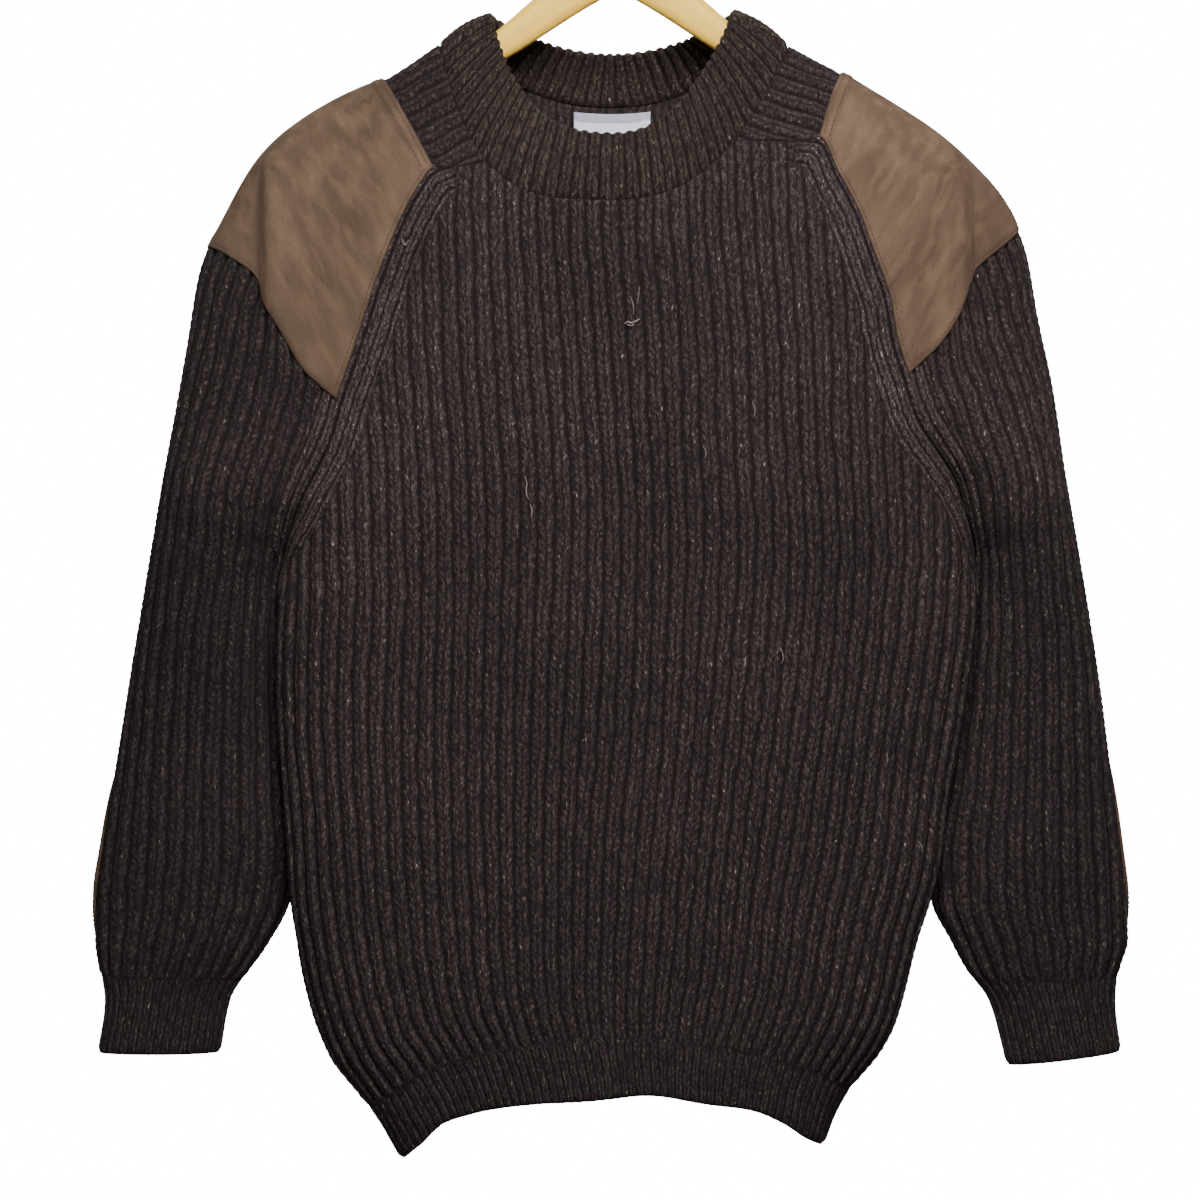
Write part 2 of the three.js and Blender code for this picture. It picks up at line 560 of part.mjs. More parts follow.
// The shank goes into a bore in the hanger's neck.
async function boredHanger(geometry) {
  const wasm = await Module();
  wasm.setup();
  const wood = new wasm.Manifold(
    new wasm.Mesh({
      numProp: 3,
      vertProperties: new Float32Array(geometry.getAttribute("position").array),
      triVerts: new Uint32Array(geometry.index.array),
    }),
  );
  const depth = 27;
  const bore = wasm.Manifold.cylinder(depth, HOOK_WIRE_R + 0.05, HOOK_WIRE_R + 0.05, 20);
  const mesh = wood.subtract(bore.translate([0, 0, HOOK_SHANK_FOOT - 0.5])).getMesh();
  const result = new THREE.BufferGeometry();
  result.setAttribute("position", new THREE.BufferAttribute(new Float32Array(mesh.vertProperties), 3));
  result.setIndex(Array.from(mesh.triVerts));
  result.computeVertexNormals();
  return result;
}

// ---- assembly ----
const group = new THREE.Group();

function add(name, geometry, color, roughness, metalness = 0) {
  const mesh = new THREE.Mesh(geometry, new THREE.MeshStandardMaterial({ color, roughness, metalness }));
  mesh.name = name;
  group.add(mesh);
}

const WOOL = 0x3a302f;
const SUEDE = 0x7a624e;
const wall = { outer: 0, inner: -KNIT_WALL };
const collar = inset(collarGrid(), { top: true });
const patch = { outer: CLEARANCE + SUEDE_WALL, inner: CLEARANCE };
const underBack = { outer: -KNIT_WALL - CLEARANCE, inner: -KNIT_WALL - CLEARANCE - LABEL_WALL };

for (const [name, grid] of [["left", leftGrid], ["right", rightGrid]]) {
  const rowOf = (value) => sleeveRows.indexOf(value);
  const shoulder = {
    ...patch,
    i0: SHOULDER_PATCH.firstColumn,
    i1: SHOULDER_PATCH.lastColumn,
    j0: rowOf(SHOULDER_PATCH.top),
    j1: rowOf(SHOULDER_PATCH.tip),
  };
  const elbow = {
    ...patch,
    i0: ELBOW_PATCH.firstColumn,
    i1: ELBOW_PATCH.lastColumn,
    j0: rowOf(ELBOW_PATCH.top),
    j1: rowOf(ELBOW_PATCH.bottom),
  };
  add(`shoulder_patch_${name}`, sheet(grid, shoulder), SUEDE, 0.95);
  add(`elbow_patch_${name}`, sheet(grid, elbow), SUEDE, 0.95);
}
add("front_panel", sheet(inset(frontGrid, { sides: true, top: true }), wall), WOOL, 0.95);
add("back_panel", sheet(inset(backGrid, { sides: true, top: true }), wall), WOOL, 0.95);
add("sleeve_left", sheet(inset(leftGrid, { sides: true, top: true }), wall), WOOL, 0.95);
add("sleeve_right", sheet(inset(rightGrid, { sides: true, top: true }), wall), WOOL, 0.95);
add("collar", sheet(collar, { outer: 0, inner: -COLLAR_WALL, i1: collar.length, wrap: true }), WOOL, 0.95);
add("neck_label", sheet(labelGrid(), underBack), 0xbfc1cb, 0.8);
add("hanger_bar", await boredHanger(hangerGeometry()), 0xe2c88c, 0.45);
add("hanger_hook", hookGeometry(), 0xb9bcc0, 0.25, 1);

export default group;
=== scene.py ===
import math

import bpy
import numpy as np
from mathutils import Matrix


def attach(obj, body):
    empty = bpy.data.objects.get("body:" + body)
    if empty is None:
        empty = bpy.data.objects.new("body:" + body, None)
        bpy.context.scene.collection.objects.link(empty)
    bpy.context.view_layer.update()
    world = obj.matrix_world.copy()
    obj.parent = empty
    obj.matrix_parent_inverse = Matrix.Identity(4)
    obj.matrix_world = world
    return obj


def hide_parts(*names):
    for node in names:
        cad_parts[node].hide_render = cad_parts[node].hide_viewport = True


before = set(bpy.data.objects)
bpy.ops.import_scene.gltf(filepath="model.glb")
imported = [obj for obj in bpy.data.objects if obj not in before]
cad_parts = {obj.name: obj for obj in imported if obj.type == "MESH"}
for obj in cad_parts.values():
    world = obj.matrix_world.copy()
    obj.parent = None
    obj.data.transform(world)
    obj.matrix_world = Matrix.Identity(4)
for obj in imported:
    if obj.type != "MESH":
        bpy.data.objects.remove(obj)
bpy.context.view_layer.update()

# ======================================================================================
# Front and back. Two panels of chunky wool, machine knitted in fisherman's rib from the
# bottom edge up, narrowed along the raglan seams by decreases that leave a band of cords,
# and ending below in a finer-ribbed welt knitted in one with the panel.
# ======================================================================================
MM = 0.001
KNIT_WALL = 3.0
COURSE = 5.3  # one stitch, measured along a rib
BAND_WIDTH = 19.0  # fashioned band beside a raglan seam
BAND_CORDS = 2.5
BAND_PITCH = BAND_WIDTH / BAND_CORDS
SEAM_GAP = 0.06  # how far the edge of a panel keeps from the seam line
EDGE_ROLL = 5.0  # the last millimetres of a free edge turn in
COURSE_DIP = 0.84  # height between two stitches of a rib, as a share of the stitch's own
INSIDE_SHADE = 0.55  # how light the inside of the knitting is drawn, where 1 is a crest: painted shade inside the garment
NECK_SHIFT = -4.0  # the neck opening sits a little to the left of the hook


def smooth_curve(table):
    """Monotone cubic through rows of [knot, values...]; it never overshoots a value."""
    table = np.array(table, float)
    knots, values = table[:, 0], table[:, 1:]
    secant = np.diff(values, axis=0) / np.diff(knots)[:, None]
    before, after = np.vstack([secant[:1], secant]), np.vstack([secant, secant[-1:]])
    same_way = before * after > 0
    slope = np.where(same_way, 2 * before * after / np.where(same_way, before + after, 1), 0)

    def at(x):
        x = np.asarray(x, float)
        i = np.clip(np.searchsorted(knots, x) - 1, 0, len(knots) - 2)
        h = (knots[i + 1] - knots[i])[..., None]
        s = (x[..., None] - knots[i][..., None]) / h
        a, b = values[i], values[i + 1]
        pull = h * (slope[i] * s * (1 - s) ** 2 - slope[i + 1] * s * s * (1 - s))
        return a + (b - a) * s * s * (3 - 2 * s) + pull

    return at


# Seam lines and centre lines, each [row, x, y, z] in millimetres. Rows run from the neck (0)
# down the raglan seam to the underarm (1) and on to the bottom edge (2).
LEFT_SIDE = [
    [1, -234, 0, -507], [1.05, -237, -6, -528], [1.18, -239, -8, -587], [1.43, -232, -8, -695],
    [1.53, -229, -8, -739], [1.67, -219, -8, -800], [1.74, -211, -8, -828], [1.81, -199, -8, -856],
    [1.87, -180, -8, -878], [1.93, -165, -8, -898], [2, -153, -8, -917],
]
LEFT_RAGLAN_FRONT = [
    [0, -91, -44, -231], [0.11, -126, -46, -239], [0.17, -137, -48, -253], [0.26, -150, -50, -279],
    [0.38, -164, -51, -317], [0.49, -175, -50, -352], [0.63, -191, -46, -398], [0.72, -199, -42, -424],
    [0.865, -220, -29, -465], [0.93, -229, -14, -486],
]
LEFT_RAGLAN_BACK = [
    [0, -82, 38, -164], [0.11, -98, 42, -186], [0.26, -120, 46, -222], [0.38, -143, 47, -265],
    [0.49, -164, 47, -311], [0.63, -188, 44, -372], [0.72, -202, 39, -408], [0.865, -222, 26, -461],
    [0.93, -229, 13, -485],
]
RIGHT_SIDE = [
    [1, 250, 0, -506], [1.05, 251, -6, -530], [1.14, 248, -8, -567], [1.23, 243, -8, -605],
    [1.39, 231, -8, -673], [1.5, 225, -8, -719], [1.55, 220, -8, -739], [1.63, 209, -8, -772],
    [1.77, 194, -8, -828], [1.82, 183, -8, -849], [1.89, 163, -8, -872], [1.95, 151, -8, -892],
    [2, 145, -8, -906],
]
RIGHT_RAGLAN_FRONT = [
    [0, 81, -40, -216], [0.11, 138, -42, -218], [0.17, 150, -46, -241], [0.26, 164, -48, -269],
    [0.36, 175, -50, -301], [0.46, 184, -50, -328], [0.55, 189, -49, -356], [0.63, 197, -47, -381],
    [0.73, 207, -43, -410], [0.84, 226, -34, -438], [0.88, 234, -28, -450], [0.95, 245, -12, -482],
]
RIGHT_RAGLAN_BACK = [
    [0, 74, 38, -162], [0.11, 94, 42, -184], [0.26, 118, 46, -220], [0.38, 141, 47, -262],
    [0.49, 163, 47, -307], [0.63, 190, 44, -362], [0.72, 207, 39, -398], [0.865, 232, 26, -455],
    [0.95, 246, 10, -488],
]
FRONT_CENTRE = [
    [0, NECK_SHIFT, -56, -259], [0.11, NECK_SHIFT, -54, -283], [0.26, -2, -53, -316],
    [0.38, 0, -53, -346],
    [0.49, 2, -53, -374], [0.63, 4, -54, -409], [0.865, 7, -55, -470], [1, 8, -55, -507],
    [1.3, 2, -57, -618], [1.6, -5, -58, -730], [1.8, -7, -57, -804], [2, 0, -54, -878],
]
BACK_CENTRE = [
    [0, NECK_SHIFT, 46, -182], [0.11, NECK_SHIFT, 47, -204], [0.26, -2, 48, -236], [0.38, 0, 48, -270],
    [0.49, 2, 48, -303], [0.63, 4, 47, -350], [0.865, 7, 43, -447], [1, 8, 41, -507],
    [1.3, 2, 40, -618], [1.6, -5, 40, -730], [1.8, -7, 39, -804], [2, 0, 37, -880],
]
# Direction in which a row reaches the raglan seam: [row, outwards, backwards, upwards].
FRONT_ARRIVAL = [
    [0, 0.6, 0.3, 0.74], [0.11, 0.8, 0.12, 0.55], [0.26, 0.88, 0.08, 0.45], [0.38, 0.92, 0.06, 0.38],
    [0.49, 0.95, 0.08, 0.3], [0.63, 0.97, 0.12, 0.18], [0.72, 0.96, 0.22, 0.12], [0.865, 0.78, 0.5, 0.05],
    [1, 0, 1, 0], [2, 0, 1, 0],
]
BACK_ARRIVAL = [
    [0, 0.85, -0.45, 0.3], [0.11, 0.93, -0.2, 0.3], [0.26, 0.95, -0.1, 0.28], [0.38, 0.96, -0.08, 0.25],
    [0.49, 0.97, -0.1, 0.2], [0.63, 0.97, -0.18, 0.12], [0.72, 0.93, -0.3, 0.1], [0.865, 0.7, -0.65, 0.03],
    [1, 0, -1, 0], [2, 0, -1, 0],
]
# Handle lengths that round each row off: [row, at the seam, share of the way at the centre].
BODY_HANDLES = [
    [0, 36, 0.5], [0.26, 40, 0.5], [0.49, 52, 0.52], [0.72, 62, 0.56], [1, 48, 0.62],
    [1.3, 44, 0.62], [2, 40, 0.62],
]
# How the bottom edge rises beside the middle and drops at the sides:
# [share of the way from the centre to the seam, left, right].
HEM_WAVE = [
    [0, 0, 0], [0.2, 2, 1], [0.4, 6, 2.5], [0.55, 4, 0], [0.7, -6, -5], [0.86, -9, -6.5], [1, 0, 0],
]
HEM_WAVE_FROM = 1.82

side_curves = {
    ("left", "front"): smooth_curve(LEFT_RAGLAN_FRONT + LEFT_SIDE),
    ("left", "back"): smooth_curve(LEFT_RAGLAN_BACK + LEFT_SIDE),
    ("right", "front"): smooth_curve(RIGHT_RAGLAN_FRONT + RIGHT_SIDE),
    ("right", "back"): smooth_curve(RIGHT_RAGLAN_BACK + RIGHT_SIDE),
}
centre_curves = {"front": smooth_curve(FRONT_CENTRE), "back": smooth_curve(BACK_CENTRE)}
arrival_curves = {"front": smooth_curve(FRONT_ARRIVAL), "back": smooth_curve(BACK_ARRIVAL)}
body_handles = smooth_curve(BODY_HANDLES)
hem_wave = smooth_curve(HEM_WAVE)


def unit(v):
    return v / np.maximum(np.linalg.norm(v, axis=-1, keepdims=True), 1e-9)


def arrival(face, side, row):
    direction = arrival_curves[face](row).copy()
    direction[..., 0] *= -1 if side == "left" else 1
    return unit(direction)


def bezier(p0, p1, p2, p3, t):
    t = np.asarray(t, float)[..., None]
    s = 1 - t
    return p0 * s**3 + 3 * p1 * s * s * t + 3 * p2 * s * t * t + p3 * t**3


def body_surface(face, u, row):
    """Point on the front or back: u is -1 at the left seam, 0 at the centre and 1 at the right."""
    u, row = np.broadcast_arrays(np.asarray(u, float), np.asarray(row, float))
    points = []
    for side in ("left", "right"):
        centre, edge = centre_curves[face](row), side_curves[side, face](row)
        handle, share = np.moveaxis(body_handles(row), -1, 0)
        near_centre = centre.copy()
        near_centre[..., 0] += (edge[..., 0] - centre[..., 0]) * share
        near_edge = edge - arrival(face, side, row) * handle[..., None]
        points.append(bezier(centre, near_centre, near_edge, edge, np.abs(u)))
    p = np.where((u < 0)[..., None], points[0], points[1])
    drop = np.where(u < 0, hem_wave(np.abs(u))[..., 0], hem_wave(np.abs(u))[..., 1])
    p[..., 2] += drop * np.clip((row - HEM_WAVE_FROM) / (2 - HEM_WAVE_FROM), 0, None)
    return p


def bump_at(distance, width):
    """A smooth hill, 1 at no distance and 0 from one width away."""
    a = np.clip(np.abs(distance) / width, 0, 1)
    return (1 - a * a) ** 2


def body_folds(face, p):
    """Soft folds of the hanging cloth, in millimetres outwards."""
    x, z = p[..., 0], p[..., 2]
    low = np.clip((-560 - z) / 260, 0, 1)
    if face == "front":
        ridge = 3.2 * bump_at(x + 42 - 0.06 * (z + 600), 46) * low
        hollow = -2.6 * bump_at(x + 122 + 0.05 * (z + 700), 52) * low - 2.0 * bump_at(x - 36, 40) * low
        side = 2.4 * bump_at(x - 128, 50) * low
        chest = 1.8 * bump_at(x - 60, 90) * bump_at(z + 430, 120)
        return ridge + hollow + side + chest
    return 2.5 * np.sin(x / 34 + 0.6) * low + 1.6 * bump_at(x + 30, 80) * bump_at(z + 380, 150)


def rib_height(phase, width=0.72):
    """Height across a rib, 0 in the channel and 1 on the crest; phase counts ribs."""
    a = np.abs(phase % 1.0 - 0.5) * 2 / width
    return np.clip(1 - a * a, 0, 1) ** 0.8


def surface_normals(points, outward):
    """Unit normals of a grid of points, turned to the outward side at its middle."""
    normal = unit(np.cross(np.gradient(points, axis=0), np.gradient(points, axis=1)))
    middle = normal[points.shape[0] // 2, points.shape[1] // 2]
    return normal if middle @ np.array(outward, float) > 0 else -normal


def arc_along(line):
    """Distance of each point of a line from its first, measured along the line."""
    return np.concatenate([[0], np.cumsum(np.linalg.norm(np.diff(line, axis=0), axis=1))])


def arc_from(points, start, level=False):
    """Distance along each row from column number start, negative before it. If level, climbing
    counts for nothing, so ribs laid out by it stay upright where the rows slope at the neck."""
    steps = np.linalg.norm(np.diff(points[..., :2] if level else points, axis=0), axis=-1)
    arc = np.vstack([np.zeros((1, points.shape[1])), np.cumsum(steps, axis=0)])
    return arc - arc[start]


def along_seam(points, seam):
    """Distance of every point from a seam line, and how far along the line its nearest spot is."""
    arc = arc_along(seam)
    away, where = [], []
    for strip in points:
        gaps = np.linalg.norm(strip[:, None] - seam[None], axis=-1)
        nearest = np.argmin(gaps, axis=1)
        away.append(gaps[np.arange(len(strip)), nearest])
        where.append(arc[nearest])
    return np.array(away), np.array(where)


def shared_normals(normal, seam_normals, from_seam):
    """Leans the normals at each side seam to one that both joined pieces share, so that their
    edges stay together however far the knitting stands up or sinks there."""
    lean = np.clip(1 - from_seam / 9, 0, 1)[..., None] ** 1.5
    half = len(normal) // 2
    common = np.concatenate([np.repeat(seam_normals[0][None], half, 0),
                             np.repeat(seam_normals[1][None], len(normal) - half, 0)])
    return unit(normal + (common - normal) * lean)


def grid_quads(ids):
    """Four-sided faces between neighbouring points of a grid of vertex numbers."""
    return np.stack([ids[:-1, :-1], ids[1:, :-1], ids[1:, 1:], ids[:-1, 1:]], -1).reshape(-1, 4)


def closed_shell(name, outer, inner, skip, uv, crest):
    """A closed sheet from an outer and an inner grid in millimetres. The inner one keeps every
    skip-th column and row. Its edge faces join a run of outer points to two inner ones."""
    columns, rows = outer.shape[:2]
    ci, cj = skip
    near = (slice(None, None, ci), slice(None, None, cj))
    inner_grid, inner_uv = inner[near], uv[near]
    n, m = inner_grid.shape[:2]
    base = columns * rows
    verts = np.vstack([outer.reshape(-1, 3), inner_grid.reshape(-1, 3)]) * MM
    out = np.arange(base).reshape(columns, rows)
    ins = base + np.arange(n * m).reshape(n, m)
    faces = grid_quads(out).tolist() + grid_quads(ins)[:, ::-1].tolist()
    for j_out, j_in, turned in ((0, 0, True), (rows - 1, m - 1, False)):
        for k in range(n - 1):
            run = out[k * ci:(k + 1) * ci + 1, j_out].tolist()
            face = run + [int(ins[k + 1, j_in]), int(ins[k, j_in])]
            faces.append(face[::-1] if turned else face)
    for i_out, i_in, turned in ((0, 0, False), (columns - 1, n - 1, True)):
        for k in range(m - 1):
            run = out[i_out, k * cj:(k + 1) * cj + 1].tolist()
            face = run + [int(ins[i_in, k + 1]), int(ins[i_in, k])]
            faces.append(face[::-1] if turned else face)
    all_uv = np.vstack([uv.reshape(-1, 2), inner_uv.reshape(-1, 2)])
    all_crest = np.concatenate([crest.ravel(), np.full(n * m, INSIDE_SHADE)])
    return finished_mesh(name, verts, faces, all_uv, all_crest)


def finished_mesh(name, verts, faces, uv, crest):
    mesh = bpy.data.meshes.new(name)
    mesh.from_pydata(verts.tolist(), [], faces)
    corner = np.zeros(len(mesh.loops), np.int32)
    mesh.loops.foreach_get("vertex_index", corner)
    layer = mesh.uv_layers.new(name="knit")
    layer.data.foreach_set("uv", uv[corner].astype(np.float32).ravel())
    # the 'lift' attribute holds each piece's tone, with the light and shade painted into it
    tone_and_painted_light_layer = mesh.attributes.new("lift", "FLOAT", "POINT")
    tone_and_painted_light_layer.data.foreach_set("value", crest.astype(np.float32))
    mesh.calc_loop_triangles()
    tri = np.zeros(len(mesh.loop_triangles) * 3, np.int32)
    mesh.loop_triangles.foreach_get("vertices", tri)
    a, b, c = (verts[tri.reshape(-1, 3)[:, k]] for k in range(3))
    if np.einsum("ij,ij->", a, np.cross(b, c)) < 0:
        mesh.flip_normals()
    mesh.shade_smooth()
    mesh.update()
    piece = bpy.data.objects.new(name, mesh)
    bpy.context.scene.collection.objects.link(piece)
    return piece


def body_rows(face):
    """Rows of stitches, evenly spaced down the centre line, two grid rows to a stitch."""
    fine = np.linspace(0, 2, 4001)
    z = centre_curves[face](fine)[..., 2]
    count = int(round((z[0] - z[-1]) / (COURSE / 2) / 6)) * 6
    return np.interp(np.linspace(z[0], z[-1], count + 1), z[::-1], fine[::-1])


BODY_RIBS = 46
RIB_SAMPLES = 7
WELT_RIBS = 64
WELT_ROW = 1.887


def rib_sway(x, z):
    """Hand-feel of real knitting: ribs sway sideways by up to a fifth of their pitch."""
    uneven = 0.06 * np.sin(x / 5.3 + 2.2 * np.sin(z / 37)) * np.sin(z / 12 + x / 19)
    slow = 0.05 * np.sin(x / 55 - z / 41 + 1.3)
    return uneven + 0.055 * np.sin(x / 21 + z / 74) + slow + 0.04 * np.sin(z / 23 + x / 90)


def knit_pattern(phase, seam, band):
    """Lays the cords of the fashioned band over the ribs. Gives each point's place, counted in
    ribs and in stitches, and how high the rib or cord stands there."""
    from_seam, down_seam = seam
    phase = np.where(band, from_seam / BAND_PITCH, phase)
    row_number = np.arange(phase.shape[1])
    down = np.where(band, down_seam / COURSE, np.broadcast_to(row_number / 2, phase.shape))
    height = rib_height(phase, np.where(band, 0.85, 0.82))
    bead = np.where(row_number % 2 == 0, 1.0, COURSE_DIP)[None, :]
    return np.stack([phase, down], -1), height * bead


def knit_faces(base, normal, relief, to_edge):
    """The outer and inner faces of the knitting; to_edge falls from 1 to 0 where it turns in."""
    relief = relief - 1.6 * (1 - np.sqrt(1 - (1 - to_edge) ** 2))
    outer = base + normal * relief[..., None]
    inner = base - normal * (KNIT_WALL - 0.9 * (1 - to_edge) ** 2)[..., None]
    return pulled_in(outer), pulled_in(inner)


def knitted_body(face, outward):
    half = BODY_RIBS * RIB_SAMPLES // 2
    rows = body_rows(face)
    spread = np.linspace(0, 1, 400)
    # columns evenly spaced along the row at the underarm, on each side of the centre line
    columns = []
    for sign in (-1, 1):
        arc = arc_along(body_surface(face, sign * spread, np.full(400, 1.0)))
        columns.append(sign * np.interp(np.linspace(0, arc[-1], half + 1), arc, spread))
    u = np.concatenate([columns[0][::-1], columns[1][1:]])
    q = rows[None, :]
    base = eased(body_surface(face, u[:, None], q), q, half)
    normal = surface_normals(base, outward)
    base = base + normal * (body_folds(face, base) * edge_fade(base, half))[..., None]
    normal = surface_normals(base, outward)
    arc = arc_from(base, half, level=True)
    edge = np.where(arc < 0, -arc[:1], arc[-1:])
    underarm = np.argmin(np.abs(rows - 1))
    widest = edge[:, underarm:underarm + 1]
    share = np.minimum(np.where(q >= 1, np.abs(arc) / edge, np.abs(arc) / widest), 1)
    seam = from_seam, _ = seam_distances(base, half)
    seam_normals = [seam_normal(side, face, rows) for side in ("left", "right")]
    normal = shared_normals(normal, seam_normals, from_seam)
    band_width = BAND_WIDTH * np.clip((1.09 - q) / 0.12, 0, 1) * np.clip((q - 0.07) / 0.05, 0, 1)
    band = from_seam < band_width
    welt = q > WELT_ROW
    ribs = np.where(welt, WELT_RIBS / 2, BODY_RIBS / 2)
    phase = np.sign(arc) * share * ribs + 0.5 + rib_sway(base[..., 0], base[..., 2])
    uv, height = knit_pattern(phase, seam, band)
    # the raised band, and the sunken lines at seams and joins
    tall = np.where(welt, 1.2, np.where(band, 2.2, 3.0)) * (1 - 0.4 * bump_at(q - WELT_ROW, 0.012))
    relief = height * tall - np.where(welt, 0.9, 1.7)
    relief = relief + 1.3 * band * bump_at(from_seam - band_width / 2, 11)
    relief = relief - 0.9 * (q < 1.05) * bump_at(from_seam - band_width, 2.4)
    relief = relief + (-0.9 - relief) * bump_at(from_seam, 3.0)
    relief = relief * at_underarm(q, from_seam)
    # the hem hangs a little wavy and its corners are worn round
    hem = np.clip((q - 1.9) / 0.1, 0, 1) ** 2
    wavy = 1.5 * np.sin(base[..., 0] / 27 + 0.6) + 1.1 * np.sin(base[..., 0] / 12.5)
    base = base.copy()
    base[..., 2] += hem * (wavy * np.clip(from_seam / 20, 0, 1) + 5.0 * bump_at(from_seam, 8))
    to_edge = np.clip((base[:, -1:, 2] - base[..., 2]) / -EDGE_ROLL, 0, 1)
    outer, inner = knit_faces(base, normal, relief, to_edge)
    # painted shade in the seam grooves: the knitting is drawn darker within 2 mm of a seam; the bands are
    # drawn lighter and the welt darker
    crest = np.clip(0.25 + from_seam / 3, 0, 1) * np.where(band, 1.8, np.where(welt, 0.85, 1.0))
    return closed_shell(f"{face}_panel_knit", outer, inner, (7, 6), uv, crest)


def seam_distances(base, half):
    """Distance of every point from the seam on its own side, and the place along that seam."""
    left, right = along_seam(base[:half], base[0]), along_seam(base[half:], base[-1])
    return np.concatenate([left[0], right[0]]), np.concatenate([left[1], right[1]])


def at_underarm(q, from_seam):
    """0 where four edges meet under the arm, so that all of them end in one point."""
    return 1 - bump_at(q - 1, 0.05) * np.clip(1 - from_seam / 12, 0, 1)


def seam_normal(side, face, rows):
    """The outward direction that both pieces share along a seam: the body's own beside a raglan
    seam, and straight out to the side below the underarm."""
    out = -1 if side == "left" else 1
    high = np.minimum(rows, 0.9999)
    edge = side_curves[side, face]
    along = edge(high + 1e-3) - edge(np.maximum(high - 1e-3, 0))
    turned = out if face == "front" else -out
    raglan = unit(np.cross(along, arrival(face, side, high))) * turned
    return np.where((rows < 1)[:, None], raglan, np.array([out, 0.0, 0.0]))


def eased(base, q, half):
    """Smooths the turn that each column makes at the underarm, except beside the seams."""
    arc = arc_from(base, half)
    from_seam = np.where(arc < 0, -arc[:1], arc[-1:]) - np.abs(arc)
    soft = base.copy()
    for _ in range(160):
        soft[:, 1:-1] = (soft[:, :-2] + soft[:, 1:-1] * 2 + soft[:, 2:]) / 4
    share = bump_at(q - 1, 0.16) * np.clip(from_seam / 30, 0, 1)
    return base + (soft - base) * share[..., None]


def edge_fade(base, centre):
    """0 at the seams, 1 away from them, so that folds die out where panels are joined."""
    arc = arc_from(base, centre)
    edge = np.where(arc < 0, -arc[:1], arc[-1:])
    return np.clip((edge - np.abs(arc)) / 30, 0, 1) ** 1.5


def pulled_in(grid):
    """Moves the outer rows a little way in from the seam lines."""
    grid = grid.copy()
    grid[0] += unit(grid[1] - grid[0]) * SEAM_GAP
    grid[-1] += unit(grid[-2] - grid[-1]) * SEAM_GAP
    grid[:, 0] += unit(grid[:, 1] - grid[:, 0]) * SEAM_GAP
    return grid


def linear(hex_colour):
    """sRGB hex to the linear colour that a shader takes."""
    channels = [int(hex_colour[k:k + 2], 16) / 255 for k in (0, 2, 4)]
    return [c / 12.92 if c <= 0.04045 else ((c + 0.055) / 1.055) ** 2.4 for c in channels] + [1]


def node(material, kind, sockets={}, **settings):
    """Adds one node. A socket is given a number or colour to hold, or a node or output to read."""
    made = material.node_tree.nodes.new(kind)
    for key, value in settings.items():
        setattr(made, key, value)
    for socket, value in sockets.items():
        if isinstance(value, bpy.types.Node):
            value = next(output for output in value.outputs if output.enabled)
        if isinstance(value, bpy.types.NodeSocket):
            material.node_tree.links.new(value, made.inputs[socket])
        else:
            made.inputs[socket].default_value = value
    return made


def new_material(name):
    material = bpy.data.materials.new(name)
    material.use_nodes = True
    material.node_tree.nodes.clear()
    return material


